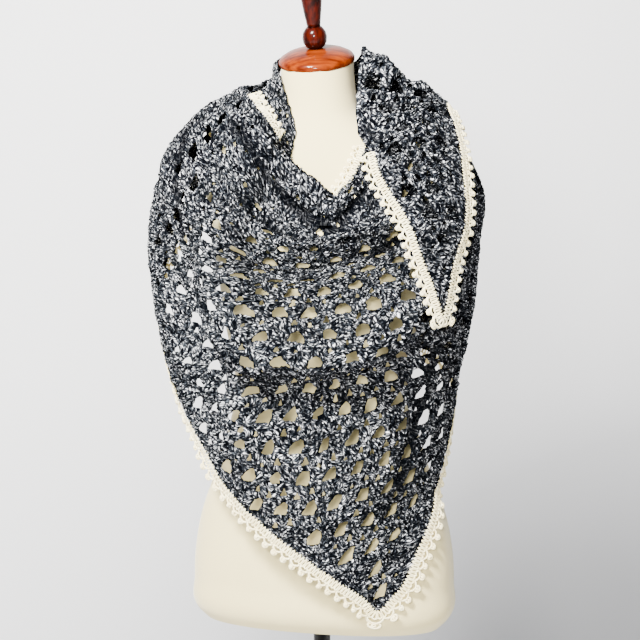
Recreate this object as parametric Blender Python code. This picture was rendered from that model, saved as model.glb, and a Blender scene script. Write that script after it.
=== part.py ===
# Lace shawl on a dress form: a crocheted triangle worn point down in front, its two ends crossed
# behind the neck, one of them brought over the right shoulder to hang in front.
# Metres, +Z up, the viewer stands at -Y. The origin lies on the floor under the stand's pole.
# Angles run round the body from the front (0), + towards the viewer's right.
import functools
import math

import bmesh
import bpy
import numpy as np
from mathutils import Matrix, Vector
from mathutils.geometry import delaunay_2d_cdt

# driving sizes
standHeight = 0.500        # floor to the level that the form's heights are measured from
formTurn = math.radians(-15)
formPower = 2.25           # squareness of the form's sections
clothThick = 0.0030
seamGap = 0.0003
restGap = 0.0040           # cloth to form, before the facets of both cut the corners
edgingGap = 0.0014         # the same for the narrow edgings
tuckGap = 0.0021           # and for the tucked end
trimWidth = 0.020          # edging along the hem
trimScallop = 0.005        # depth of its scallops
rootShare, tipShare = 0.90, 0.63   # its thickness at the cloth and at the tips, as shares of the cloth's
neckTrimWidth = 0.014
endTrimWidth = 0.016
bareShare, bareRamp = 0.28, 0.06   # shares of the hanging end's length: left edge turned under, then the trim begins
smallScallop = 0.003
hemPitch = 0.0095          # spacing of the points along a panel's long edges, half a scallop
sidePitch = 0.016          # and along the edges where two stretches meet
frontTurn = 100            # degrees from the front centre to where the front stretch ends
outerTurn, innerTurn = -265, 232   # how far round each back stretch runs
openSeed = 2               # settles which holes are pulled shut
backShare = 0.40           # share of the back's open holes that is cut
frontMargin, backMargin, endMargin, tuckMargin = 0.009, 0.012, 0.006, 0.005   # holes to the stretch's edge
sparePitch, spareMargin = 0.028, 0.012     # points that carry the shape where there are no holes
tuckPitch = 0.012
roundWidth = 0.17          # mean reach, turns angles into widths on the flat pattern
outerGap = 0.0085          # middle of the outer back stretch off the inner one
endWidth, endLength, endCrown = 0.115, 0.40, 0.030
tuckReach, tuckDrop, tuckBow = 0.075, 0.065, 0.010

# dress form: height above the stand, half width, reach to front and back of the pole's axis
formColumns = ("height", "width", "front", "back")
formRows = [
    (0.010, 0.167, 0.076, 0.134),
    (0.022, 0.179, 0.086, 0.146),
    (0.070, 0.184, 0.090, 0.150),
    (0.150, 0.175, 0.086, 0.146),
    (0.240, 0.144, 0.078, 0.122),
    (0.335, 0.122, 0.080, 0.100),
    (0.430, 0.134, 0.106, 0.104),
    (0.515, 0.146, 0.118, 0.112),
    (0.580, 0.158, 0.102, 0.118),
    (0.625, 0.165, 0.088, 0.116),
    (0.655, 0.160, 0.078, 0.104),
    (0.675, 0.132, 0.070, 0.088),
    (0.692, 0.090, 0.062, 0.072),
    (0.710, 0.060, 0.054, 0.060),
    (0.735, 0.051, 0.050, 0.053),
    (0.770, 0.049, 0.049, 0.049),
]
neckTop = 0.783            # middle of the slanted neck opening
neckFoot = 0.690           # height at which the neck begins to lean
neckShift = -0.007         # to the viewer's left at its top
neckPitch = math.radians(17)   # the cap looks forward
neckRoll = math.radians(5)     # and down to the viewer's left

# cape: each row is a line of crochet, v from the long edge, its reach and height round the body
ringColumns = ("v", "leftReach", "leftHeight", "rightReach", "rightHeight", "frontReach", "frontHeight",
               "backReach", "backHeight", "sag", "lean")
ringRows = [
    (-0.030, 0.080, 0.763, 0.036, 0.796, 0.083, 0.618, 0.057, 0.799, 1.20, 10),
    (0.000, 0.101, 0.752, 0.053, 0.778, 0.090, 0.602, 0.066, 0.775, 1.20, 10),
    (0.070, 0.158, 0.722, 0.108, 0.738, 0.112, 0.572, 0.090, 0.720, 1.30, 8),
    (0.140, 0.204, 0.674, 0.163, 0.700, 0.128, 0.546, 0.112, 0.660, 1.50, 0),
    (0.220, 0.229, 0.600, 0.214, 0.622, 0.141, 0.520, 0.128, 0.590, 1.75, -9),
    (0.316, 0.235, 0.522, 0.213, 0.535, 0.153, 0.483, 0.138, 0.500, 2.00, -16),
    (0.412, 0.224, 0.430, 0.204, 0.440, 0.165, 0.397, 0.143, 0.405, 2.00, -17),
    (0.510, 0.202, 0.335, 0.188, 0.360, 0.148, 0.321, 0.147, 0.310, 2.00, -17),
    (0.600, 0.183, 0.260, 0.177, 0.280, 0.139, 0.222, 0.150, 0.225, 2.00, -17),
    (0.700, 0.168, 0.170, 0.165, 0.190, 0.130, 0.119, 0.150, 0.135, 2.00, -17),
    (0.820, 0.154, 0.068, 0.154, 0.094, 0.120, -0.004, 0.150, 0.027, 2.00, -17),
]

# folds over the front: angle, v of the fold's line, height out of the cloth, its spread above and below
foldColumns = ("angle", "line", "height", "above", "below")
foldRows = {
    "collar roll": [
        (-66, 0.040, 0.000, 0.030, 0.030),
        (-30, 0.048, 0.014, 0.024, 0.024),
        (0, 0.046, 0.021, 0.022, 0.022),
        (25, 0.064, 0.015, 0.024, 0.024),
        (55, 0.074, 0.000, 0.030, 0.030),
    ],
    "collar trough": [
        (-62, 0.116, 0.000, 0.030, 0.030),
        (-34, 0.118, -0.018, 0.022, 0.026),
        (0, 0.102, -0.032, 0.020, 0.030),
        (22, 0.116, -0.028, 0.020, 0.028),
        (50, 0.140, 0.000, 0.030, 0.030),
    ],
    "second roll": [
        (-64, 0.176, 0.000, 0.030, 0.040),
        (-34, 0.180, 0.018, 0.026, 0.034),
        (4, 0.168, 0.024, 0.026, 0.034),
        (30, 0.182, 0.018, 0.026, 0.034),
        (60, 0.200, 0.000, 0.030, 0.040),
    ],
    "shallow trough": [
        (-58, 0.236, 0.000, 0.030, 0.030),
        (-30, 0.240, -0.010, 0.024, 0.040),
        (8, 0.230, -0.013, 0.024, 0.040),
        (34, 0.240, -0.010, 0.024, 0.040),
        (60, 0.250, 0.000, 0.030, 0.030),
    ],
    "shoulder ridge and lip": [
        (-70, 0.020, 0.000, 0.060, 0.060),
        (-53, 0.042, 0.015, 0.050, 0.050),
        (-42, 0.106, 0.024, 0.045, 0.040),
        (-36, 0.228, 0.026, 0.050, 0.036),
        (-29, 0.366, 0.028, 0.060, 0.026),
        (-10, 0.408, 0.032, 0.046, 0.018),
        (14, 0.414, 0.032, 0.046, 0.018),
        (47, 0.364, 0.020, 0.050, 0.024),
        (78, 0.320, 0.000, 0.060, 0.040),
    ],
    "trough under the lip": [
        (-84, 0.230, 0.000, 0.050, 0.060),
        (-60, 0.280, -0.018, 0.036, 0.060),
        (-44, 0.410, -0.024, 0.030, 0.050),
        (-14, 0.458, -0.026, 0.022, 0.045),
        (12, 0.464, -0.026, 0.022, 0.045),
        (40, 0.430, -0.020, 0.028, 0.045),
        (78, 0.380, 0.000, 0.050, 0.060),
    ],
    "left fold below the lip": [
        (-72, 0.430, 0.000, 0.030, 0.030),
        (-58, 0.440, 0.010, 0.026, 0.040),
        (-40, 0.490, 0.013, 0.026, 0.040),
        (-22, 0.530, 0.008, 0.026, 0.040),
        (-4, 0.550, 0.000, 0.030, 0.030),
    ],
}

# upper and lower edge of the cape round the body: angle and v
frontTopRows = [
    (-100, 0.000), (-68, 0.004), (-33, 0.018), (-17, 0.032), (-4, 0.024), (13, 0.018), (24, 0.036), (33, 0.038),
    (46, 0.036), (58, 0.044), (70, 0.042), (85, 0.022), (100, 0.000),
]
frontHemRows = [
    (-100, 0.385), (-90, 0.450), (-75, 0.520), (-60, 0.574), (-53, 0.606), (-39, 0.630), (-23.5, 0.661),
    (-6.5, 0.699), (7.5, 0.740), (21, 0.783), (27.5, 0.810), (30.5, 0.810), (35, 0.799), (40.5, 0.782),
    (45, 0.752), (51, 0.723), (58, 0.698), (66, 0.672), (72, 0.643), (80, 0.602), (90, 0.560), (100, 0.520),
]
outerHemRows = [
    (-265, 0.145), (-240, 0.170), (-210, 0.198), (-180, 0.220), (-150, 0.240), (-125, 0.275), (-100, 0.385),
]
innerHemRows = [
    (100, 0.520), (108, 0.494), (120, 0.478), (135, 0.455), (150, 0.410), (165, 0.340), (180, 0.270), (205, 0.170),
    (232, 0.100),
]
# the back's upper edge is the long edge itself
outerTopRows = [
    (-265, -0.020), (-240, -0.010), (-200, 0.010), (-180, 0.022), (-150, 0.026), (-125, 0.022), (-110, 0.008),
    (-100, 0.000),
]
innerTopRows = [(100, 0.000), (232, 0.000)]
# how far the outer stretch stands off the inner one
outerLiftRows = [(-265, 0.018), (-240, 0.018), (-200, 0.014), (-140, 0.012), (-116, 0.003), (-100, 0.000)]

# end that hangs over the right shoulder: both of its edges, as places on the cape, and its height off it
endColumns = ("along", "leftAngle", "leftV", "rightAngle", "rightV", "lift")
endRows = [
    (0.00, 93.8, -0.026, 94.7, 0.145, 0.018),
    (0.14, 59.0, -0.010, 81.0, 0.142, 0.026),
    (0.32, 37.0, 0.046, 69.0, 0.168, 0.031),
    (0.50, 26.5, 0.135, 57.0, 0.212, 0.035),
    (0.70, 26.0, 0.265, 49.5, 0.290, 0.036),
    (0.88, 34.0, 0.366, 45.0, 0.376, 0.037),
    (1.00, 40.5, 0.424, 42.0, 0.427, 0.034),
]
# two soft bumps just in front of its crest: place across the end, height, spread
crestRows = [(0.28, 0.016, 0.13), (0.68, 0.009, 0.14)]
crestPlace, crestSpread = 0.08, 0.045

# end of the inner stretch, tucked between the neck and the front: upper and lower edge
tuckColumns = ("angle", "topReach", "topHeight", "lowReach", "lowHeight")
tuckRows = [
    (-150, 0.064, 0.786, 0.090, 0.716),
    (-120, 0.063, 0.792, 0.098, 0.722),
    (-90, 0.062, 0.781, 0.100, 0.724),
    (-65, 0.062, 0.760, 0.092, 0.694),
    (-45, 0.062, 0.720, 0.084, 0.664),
    (-30, 0.064, 0.690, 0.081, 0.645),
]

# lace: v of its lines of holes, their spacing and the first hole's place from the front centre
upperLace = {"first": 0.028, "rows": 13, "pitch": 0.032, "spacing": 0.0415, "start": -0.0388, "step": 0.0235,
             "startRow": 9, "width": 0.0215, "height": 0.0165, "slant": 0.0}
middleLace = {"first": 0.4445, "rows": 2, "pitch": 0.0325, "spacing": 0.0400, "start": -0.0388, "step": 0.0200,
              "startRow": 0, "width": 0.0200, "height": 0.0150, "slant": 0.1}
lowerLace = {"first": 0.510, "rows": 8, "pitch": 0.0385, "spacing": 0.0370, "start": -0.0400, "step": 0.0077,
             "startRow": 0, "width": 0.0190, "height": 0.0200, "slant": 0.45}

endLace = {"first": 0.026, "rows": 12, "pitch": 0.030, "spacing": 0.034, "width": 0.0200, "height": 0.0165,
           "slant": 0.0}
tuckLace = {"first": 0.020, "rows": 2, "pitch": 0.026, "spacing": 0.034, "width": 0.015, "height": 0.012,
            "slant": 0.0}

colours = {
    "greyYarn": (0.135, 0.142, 0.155),
    "creamYarn": (0.80, 0.74, 0.60),
    "coverCloth": (0.72, 0.68, 0.58),
    "capWood": (0.30, 0.065, 0.018),
    "finialWood": (0.12, 0.012, 0.006),
    "blackSteel": (0.02, 0.02, 0.02),
}
finishes = {
    "greyYarn": (0.9, 0.0),
    "creamYarn": (0.85, 0.0),
    "coverCloth": (0.9, 0.0),
    "capWood": (0.18, 0.0),
    "finialWood": (0.22, 0.0),
    "blackSteel": (0.4, 1.0),
}


def column(rows, names, name):
    """One named column of a table as an array."""
    return np.array([row[names.index(name)] for row in rows], float)


def smooth(x, xs, ys):
    """Smooth curve through the rows of a table, held at its ends."""
    x = np.clip(np.asarray(x, float), xs[0], xs[-1])
    steps = np.diff(xs)
    rises = np.diff(ys) / steps
    slopes = np.empty_like(ys)
    slopes[1:-1] = (rises[1:] * steps[:-1] + rises[:-1] * steps[1:]) / (xs[2:] - xs[:-2])
    slopes[0], slopes[-1] = rises[0], rises[-1]
    i = np.clip(np.searchsorted(xs, x, side="right") - 1, 0, len(xs) - 2)
    h = steps[i]
    t = (x - xs[i]) / h
    return ((2 * t ** 3 - 3 * t ** 2 + 1) * ys[i] + (t ** 3 - 2 * t ** 2 + t) * h * slopes[i]
            + (3 * t ** 2 - 2 * t ** 3) * ys[i + 1] + (t ** 3 - t ** 2) * h * slopes[i + 1])


def read(x, rows, names, name):
    """A table's named column, read at x along its first column."""
    return smooth(x, column(rows, names, names[0]), column(rows, names, name))


def formReach(angle, height):
    """Reach of the form from the pole's axis, at an angle and height."""
    turned = angle - formTurn
    width = read(height, formRows, formColumns, "width")
    front = read(height, formRows, formColumns, "front")
    back = read(height, formRows, formColumns, "back")
    depth = np.where(np.cos(turned) > 0, front, back)
    across = np.abs(np.sin(turned) / width) ** formPower
    along = np.abs(np.cos(turned) / depth) ** formPower
    return (across + along) ** (-1 / formPower)


def neckLean(height):
    """How far the form's middle lies off the pole's axis, sideways."""
    return neckShift * np.clip((height - neckFoot) / (neckTop - neckFoot), 0, 1)


def clearOfForm(points, gap):
    """Points inside the form are moved out to lie on it."""
    lean = neckLean(points[..., 2] - standHeight)
    x, y, z = points[..., 0] - lean, points[..., 1], points[..., 2]
    reach = np.hypot(x, y)
    need = formReach(np.arctan2(x, -y), z - standHeight) + gap
    scale = np.where(reach < need, need / np.maximum(reach, 1e-6), 1.0)
    return np.stack([x * scale + lean, y * scale, z], axis=-1)


def ring(angle, v):
    """Point of the smooth cape at an angle round the body and v from its long edge."""
    def at(name):
        return read(v, ringRows, ringColumns, name)
    s, c = np.sin(angle), np.cos(angle)
    left, front = s < 0, c > 0
    sideReach = np.where(left, at("leftReach"), at("rightReach"))
    sideHeight = np.where(left, at("leftHeight"), at("rightHeight"))
    endReach = np.where(front, at("frontReach"), at("backReach"))
    endHeight = np.where(front, at("frontHeight"), at("backHeight"))
    leant = np.where(front, angle - np.radians(at("lean")) * c * c, angle)
    sag = np.where(front, at("sag"), 2.0)
    rise = np.abs(np.sin(leant)) ** sag
    height = standHeight + endHeight + (sideHeight - endHeight) * rise
    return np.stack([sideReach * s, -endReach * c, height], axis=-1)


def foldHeight(angle, v):
    """How far the folds push the front in or out."""
    degrees = np.degrees(angle)
    total = 0.0
    for rows in foldRows.values():
        first, last = rows[0][0], rows[-1][0]
        line = read(degrees, rows, foldColumns, "line")
        slope = (read(degrees + 1, rows, foldColumns, "line") - line) / (math.radians(1) * roundWidth)
        away = v - line
        above = read(degrees, rows, foldColumns, "above")
        below = read(degrees, rows, foldColumns, "below")
        spread = np.where(away < 0, above, below) * np.sqrt(1 + slope ** 2)
        height = read(degrees, rows, foldColumns, "height") * np.exp(-(away / spread) ** 2)
        total = total + np.where((degrees > first) & (degrees < last), height, 0.0)
    return total


def outward(surface, angle, v):
    """Unit normal of a surface, away from the body."""
    step = 5e-4
    acrossStep = surface(angle + step, v) - surface(angle - step, v)
    downStep = surface(angle, v + step) - surface(angle, v - step)
    n = np.cross(downStep, acrossStep)
    return n / np.maximum(np.linalg.norm(n, axis=-1, keepdims=True), 1e-12)


def frontCloth(x, v):
    angle = x / roundWidth
    points = ring(angle, v) + outward(ring, angle, v) * foldHeight(angle, v)[..., None]
    return clearOfForm(points, restGap + clothThick / 2)


def outerBackCloth(x, v):
    angle = x / roundWidth
    lift = smooth(np.degrees(angle), *np.array(outerLiftRows, float).T)
    points = ring(angle, v) + outward(ring, angle, v) * lift[..., None]
    return clearOfForm(points, restGap + outerGap)


def innerBackCloth(x, v):
    return clearOfForm(ring(x / roundWidth, v), restGap + clothThick / 2)


def tuckCloth(x, y):
    """Tucked end, x round the neck and y down from its upper edge."""
    angle = x / tuckReach
    t = y / tuckDrop
    degrees = np.degrees(angle)

    def at(name):
        return read(degrees, tuckRows, tuckColumns, name)
    bow = tuckBow * np.sin(np.pi * np.clip(t, 0, 1))
    reach = at("topReach") + (at("lowReach") - at("topReach")) * t - bow
    height = standHeight + at("topHeight") + (at("lowHeight") - at("topHeight")) * t
    points = np.stack([reach * np.sin(angle), -reach * np.cos(angle), height], axis=-1)
    return clearOfForm(points, tuckGap + clothThick / 2)


def endCloth(x, y):
    """Hanging end, x across it from its left edge and y along it from the shoulder's crest."""
    s, along = x / endWidth, y / endLength
    def at(name):
        return read(along, endRows, endColumns, name)
    angle = np.radians(at("leftAngle") + (at("rightAngle") - at("leftAngle")) * s)
    v = at("leftV") + (at("rightV") - at("leftV")) * s
    crown = endCrown * (1 - (2 * s - 1) ** 2) * (1 - along) * along
    lift = at("lift") + crown
    for place, height, spread in crestRows:
        away = ((s - place) / spread) ** 2 + ((along - crestPlace) / crestSpread) ** 2
        lift = lift + height * np.exp(-away)
    return ring(angle, v) + outward(ring, angle, v) * lift[..., None]


@functools.cache
def lineLengths(v):
    """Angles along a line of crochet and how far it has run there from the front centre."""
    angles = np.radians(np.linspace(outerTurn, innerTurn, 995))
    points = ring(angles, np.full_like(angles, v))
    lengths = np.concatenate([[0], np.cumsum(np.linalg.norm(np.diff(points, axis=0), axis=1))])
    return angles, lengths - np.interp(0, angles, lengths)


def arcAngle(v, place):
    """Angle at which a line of crochet has run a distance from the front centre."""
    angles, lengths = lineLengths(round(float(v), 4))
    return float(np.interp(place, lengths, angles))


def chance(a, b, seed):
    """One random value from 0 to 1 for a pair of whole numbers."""
    t = math.sin(a * 91.7 + b * 47.3 + seed * 13.1) * 24634.6345
    return t - math.floor(t)


def openness(degrees, v):
    """How wide and high the holes hang open on the cape, and the share of them that does."""
    if abs(degrees + 15) > 105:
        return 0.66, 0.85, 0.85
    if degrees < -50:
        return (0.74, 1.05, 0.85) if v < 0.30 else (0.78, 0.95, 0.90)
    if v < 0.125 and degrees < 50:
        return 0.62, 0.60, 0.38
    if v < 0.200 and degrees < 50:
        return 0.66, 0.80, 0.60
    if degrees > 50 and v < 0.33:
        return 0.55, 0.80, 0.70
    return 0.94, 0.96, 1.0


def inside(polygon, x, y):
    """Whether a place lies inside a closed outline."""
    result = False
    for (x1, y1), (x2, y2) in zip(polygon, np.roll(polygon, -1, axis=0)):
        if (y1 > y) != (y2 > y) and x < x1 + (y - y1) / (y2 - y1) * (x2 - x1):
            result = not result
    return result


def edgeDistance(polygon, x, y):
    """Shortest distance from a place to an outline."""
    start = np.asarray(polygon)
    run = np.roll(start, -1, axis=0) - start
    t = ((x - start[:, 0]) * run[:, 0] + (y - start[:, 1]) * run[:, 1]) / np.maximum((run ** 2).sum(1), 1e-12)
    t = np.clip(t, 0, 1)
    return np.min(np.hypot(start[:, 0] + t * run[:, 0] - x, start[:, 1] + t * run[:, 1] - y))


def laceHole(u, v, lace, wide=1.0, high=1.0):
    """Flat-bottomed, domed hole as offsets along and across its line of crochet."""
    w, h = lace["width"] / 2 * wide, lace["height"] / 2 * high
    corners = [(-w, h), (w, h), (0.85 * w, -0.25 * h), (0, -h), (-0.85 * w, -0.25 * h)]
    return [(u + x - lace["slant"] * y, v + y) for x, y in corners]


def laceHoles(outline, margin, cutShare=1.0):
    """Holes of a stretch of the cape, each a closed outline on the flat pattern."""
    holes = []
    for lace in (upperLace, middleLace, lowerLace):
        for row in range(lace["rows"]):
            v = lace["first"] + row * lace["pitch"]
            start = lace["start"] + (row - lace["startRow"]) * lace["step"]
            for place in range(-40, 41):
                u = start + place * lace["spacing"]
                angle = arcAngle(v, u)
                wide, high, share = openness(math.degrees(angle), v)
                if chance(place, row, openSeed) > share * cutShare or not inside(outline, angle * roundWidth, v):
                    continue
                corners = laceHole(u, v, lace, wide, high)
                flat = [(arcAngle(y, x) * roundWidth, y) for x, y in corners]
                if min(edgeDistance(outline, *p) for p in flat) > margin:
                    holes.append(flat)
    return holes


def resample(points, pitch):
    """The same polyline with points a set distance apart."""
    points = np.asarray(points, float)
    lengths = np.concatenate([[0], np.cumsum(np.linalg.norm(np.diff(points, axis=0), axis=1))])
    count = max(2, int(round(lengths[-1] / pitch)) + 1)
    places = np.linspace(0, lengths[-1], count)
    return np.stack([np.interp(places, lengths, points[:, i]) for i in range(points.shape[1])], axis=1)


def makeObject(name, vertices, faces, material, sharpAngle=40):
    mesh = bpy.data.meshes.new(name)
    mesh.from_pydata([tuple(map(float, p)) for p in vertices], [], [tuple(map(int, f)) for f in faces])
    mesh.validate()
    bm = bmesh.new()
    bm.from_mesh(mesh)
    if bm.calc_volume(signed=True) < 0:
        bmesh.ops.reverse_faces(bm, faces=bm.faces)
    bm.to_mesh(mesh)
    bm.free()
    mesh.shade_smooth()
    mesh.set_sharp_from_angle(angle=math.radians(sharpAngle))
    mesh.materials.append(materials[material])
    piece = bpy.data.objects.new(name, mesh)
    bpy.context.collection.objects.link(piece)
    piece.parent = stand
    return piece


def makeMaterials():
    made = {}
    for name, colour in colours.items():
        material = bpy.data.materials.new(name)
        material.use_nodes = True
        shader = material.node_tree.nodes["Principled BSDF"]
        roughness, metallic = finishes[name]
        shader.inputs["Base Color"].default_value = (*colour, 1)
        shader.inputs["Roughness"].default_value = roughness
        shader.inputs["Metallic"].default_value = metallic
        made[name] = material
    return made


def clothWall(name, outline, holes, surface, material, spare=()):
    """Closed wall of cloth: a flat pattern, cut and triangulated, bent onto its surface both ways."""
    loops = [outline] + list(holes)
    flat, edges = [], []
    for loop in loops:
        first = len(flat)
        flat.extend(loop)
        edges.extend((first + i, first + (i + 1) % len(loop)) for i in range(len(loop)))
    flat.extend(spare)
    coords, _, triangles, *_ = delaunay_2d_cdt([Vector(p) for p in flat], edges, [], 1, 1e-7)
    coords = np.array([tuple(p) for p in coords])
    kept = []
    for triangle in triangles:
        x, y = coords[list(triangle)].mean(axis=0)
        near = [h for h in holes if abs(h[0][0] - x) < 0.05 and abs(h[0][1] - y) < 0.05]
        if inside(outline, x, y) and not any(inside(h, x, y) for h in near):
            kept.append(tuple(triangle))
    middle = surface(coords[:, 0], coords[:, 1])
    n = outward(surface, coords[:, 0], coords[:, 1])
    points = np.concatenate([middle + n * clothThick / 2, middle - n * clothThick / 2])
    count = len(coords)
    faces = []
    used = {}
    for a, b, c in kept:
        faces.append((a, b, c))
        faces.append((c + count, b + count, a + count))
        for edge in ((a, b), (b, c), (c, a)):
            used[edge] = True
    for a, b in list(used):
        if (b, a) not in used:
            faces.append((b, a, a + count))
            faces.append((b, a + count, b + count))
    return makeObject(name, points, faces, material)


def edging(name, surface, path, side, width, scallop, gap=edgingGap, seam=seamGap * 2):
    """Scalloped strip sewn along the points of an edge, in the cloth's own plane beyond it."""
    path = path.copy()
    path[0] += 0.1 * (path[1] - path[0])
    path[-1] += 0.1 * (path[-2] - path[-1])
    x, y = path.T
    count = len(path)
    edge = surface(x, y)
    n = outward(surface, x, y)
    along = np.gradient(edge, axis=0)
    along /= np.linalg.norm(along, axis=1, keepdims=True)
    out = np.cross(along, n) * side
    out /= np.linalg.norm(out, axis=1, keepdims=True)
    reach = width - scallop * (np.arange(count) % 2 == 0)
    inner = edge + out * seam
    outer = edge + out * reach[:, None]
    inner = clearOfForm(inner, gap + clothThick / 2)
    outer = clearOfForm(outer, gap + clothThick / 2)
    innerHalf = n * clothThick * rootShare / 2
    outerHalf = n * clothThick * tipShare / 2
    rings = np.stack([inner + innerHalf, outer + outerHalf, outer - outerHalf, inner - innerHalf], axis=1)
    corners = rings.shape[1]
    faces = []
    for i in range(count - 1):
        for j in range(corners):
            a, b = i * corners + j, i * corners + (j + 1) % corners
            faces.append((a, b, b + corners, a + corners))
    faces.append(tuple(range(corners))[::-1])
    faces.append(tuple(range((count - 1) * corners, count * corners)))
    return makeObject(name, rings.reshape(-1, 3), faces, "creamYarn")


def edgeLine(rows, firstAngle, lastAngle):
    """Points along a table's edge between two angles, on the flat pattern."""
    angles = np.linspace(firstAngle, lastAngle, 121)
    line = np.stack([np.radians(angles) * roundWidth, smooth(angles, *np.array(rows, float).T)], axis=1)
    return resample(line, hemPitch)


def panel(upper, lower):
    """Outline of a stretch of cape on the flat pattern, its long edge first."""
    sides = [resample([upper[-1], lower[-1]], sidePitch), resample([lower[0], upper[0]], sidePitch)]
    loop = [upper[:-1], sides[0][:-1], lower[::-1][:-1], sides[1][:-1]]
    return [tuple(p) for p in np.concatenate(loop)]


def gridInside(outline, pitch, margin, holes=()):
    """Spare points that carry the shape where a pattern has no holes."""
    xs, ys = np.array(outline).T
    found = []
    for row, y in enumerate(np.arange(min(ys) + pitch / 2, max(ys), pitch)):
        for x in np.arange(min(xs) + pitch * (0.5 + 0.5 * (row % 2)), max(xs), pitch):
            if not inside(outline, x, y) or edgeDistance(outline, x, y) < margin:
                continue
            if all(math.hypot(x - hole[0][0], y - hole[0][1]) > pitch * 1.1 for hole in holes):
                found.append((x, y))
    return found


def makeFront():
    upper, lower = edgeLine(frontTopRows, -frontTurn, frontTurn), edgeLine(frontHemRows, -frontTurn, frontTurn)
    outline = panel(upper, lower)
    holes = laceHoles(outline, frontMargin)
    print("holes in the front:", len(holes))
    clothWall("shawl_front", outline, holes, frontCloth, "greyYarn")
    edging("front_hem_edging", frontCloth, lower, 1, trimWidth, trimScallop)
    degrees = np.degrees(upper[:, 0] / roundWidth)
    for name, first, last in (("neck_edging_left", -64, -30), ("neck_edging_right", 16, 40)):
        shown = upper[(degrees > first) & (degrees < last)]
        edging(name, frontCloth, shown, -1, neckTrimWidth, smallScallop)


def makeBacks():
    seam = math.degrees(seamGap * 2.4 / roundWidth)
    stretches = (
        ("shawl_back_outer", outerTurn, -frontTurn - seam, outerTopRows, outerHemRows, outerBackCloth),
        ("shawl_back_inner", frontTurn + seam, innerTurn, innerTopRows, innerHemRows, innerBackCloth),
    )
    for name, first, last, topRows, hemRows, surface in stretches:
        upper, lower = edgeLine(topRows, first, last), edgeLine(hemRows, first, last)
        outline = panel(upper, lower)
        holes = laceHoles(outline, backMargin, backShare)
        print("holes in", name + ":", len(holes))
        spare = gridInside(outline, sparePitch, spareMargin, holes)
        clothWall(name, outline, holes, surface, "greyYarn", spare=spare)
        edging(name + "_hem_edging", surface, lower, 1, trimWidth, trimScallop, gap=restGap, seam=seamGap * 5)


def brickHoles(outline, lace, margin):
    """Holes of a small stretch, in staggered lines over its flat pattern."""
    holes = []
    for row in range(lace["rows"]):
        for place in range(-2, 8):
            x = (place + 0.5 * (row % 2)) * lace["spacing"]
            hole = laceHole(x, lace["first"] + row * lace["pitch"], lace)
            if inside(outline, *np.mean(hole, axis=0)) and min(edgeDistance(outline, *p) for p in hole) > margin:
                holes.append(hole)
    return holes


def makeEnd():
    rows = []
    for along in np.linspace(0, 1, 31)[:-2]:
        left, right = endCloth(np.array([0.0, endWidth]), np.full(2, along * endLength))
        margin = min(0.46, endTrimWidth / np.linalg.norm(right - left))
        rows.append((along, margin * endWidth))
    leftSide = [(margin * np.clip((along - bareShare) / bareRamp, 0, 1), along * endLength) for along, margin in rows]
    rightSide = [(endWidth - margin, along * endLength) for along, margin in rows][::-1]
    trimmed = [place for place in leftSide if place[1] > (bareShare + bareRamp) * endLength]
    crest = [rightSide[-1], leftSide[0]]
    loop = [resample(part, 0.014)[:-1] for part in (crest, leftSide, [leftSide[-1], rightSide[0]], rightSide)]
    outline = [tuple(p) for p in np.concatenate(loop)]
    holes = brickHoles(outline, endLace, endMargin)
    print("holes in the hanging end:", len(holes))
    clothWall("shawl_end", outline, holes, endCloth, "greyYarn")
    edging("end_edging_left", endCloth, resample(trimmed[1:], hemPitch), 1, endTrimWidth, smallScallop)
    edging("end_edging_right", endCloth, resample(rightSide[:-1], hemPitch), 1, endTrimWidth, smallScallop)


def makeTuck():
    across = np.radians(np.linspace(tuckRows[0][0], tuckRows[-1][0], 12)) * tuckReach
    upper = [(x, 0.0) for x in across]
    lower = [(x, tuckDrop) for x in across[::-1]]
    loop = [resample(part, 0.010)[:-1] for part in (upper, [upper[-1], lower[0]], lower, [lower[-1], upper[0]])]
    outline = [tuple(p) for p in np.concatenate(loop)]
    holes = brickHoles(outline, tuckLace, tuckMargin)
    print("holes in the tucked end:", len(holes))
    spare = gridInside(outline, tuckPitch, spareMargin)
    clothWall("shawl_tucked_end", outline, holes, tuckCloth, "greyYarn", spare=spare)


def turned(name, profile, material, segments=40):
    """Turned solid from (reach, height) points, from its underside's middle to its top's middle."""
    mesh = bpy.data.meshes.new(name)
    bm = bmesh.new()
    vertices = [bm.verts.new((r, 0, z)) for r, z in profile]
    for a, b in zip(vertices, vertices[1:]):
        bm.edges.new((a, b))
    bmesh.ops.spin(bm, geom=bm.verts[:] + bm.edges[:], cent=(0, 0, 0), axis=(0, 0, 1), dvec=(0, 0, 0),
                   angle=2 * math.pi, steps=segments)
    bmesh.ops.remove_doubles(bm, verts=bm.verts, dist=1e-5)
    bmesh.ops.recalc_face_normals(bm, faces=bm.faces)
    bm.to_mesh(mesh)
    bm.free()
    mesh.shade_smooth()
    mesh.set_sharp_from_angle(angle=math.radians(35))
    mesh.materials.append(materials[material])
    piece = bpy.data.objects.new(name, mesh)
    bpy.context.collection.objects.link(piece)
    piece.parent = stand
    return piece


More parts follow.
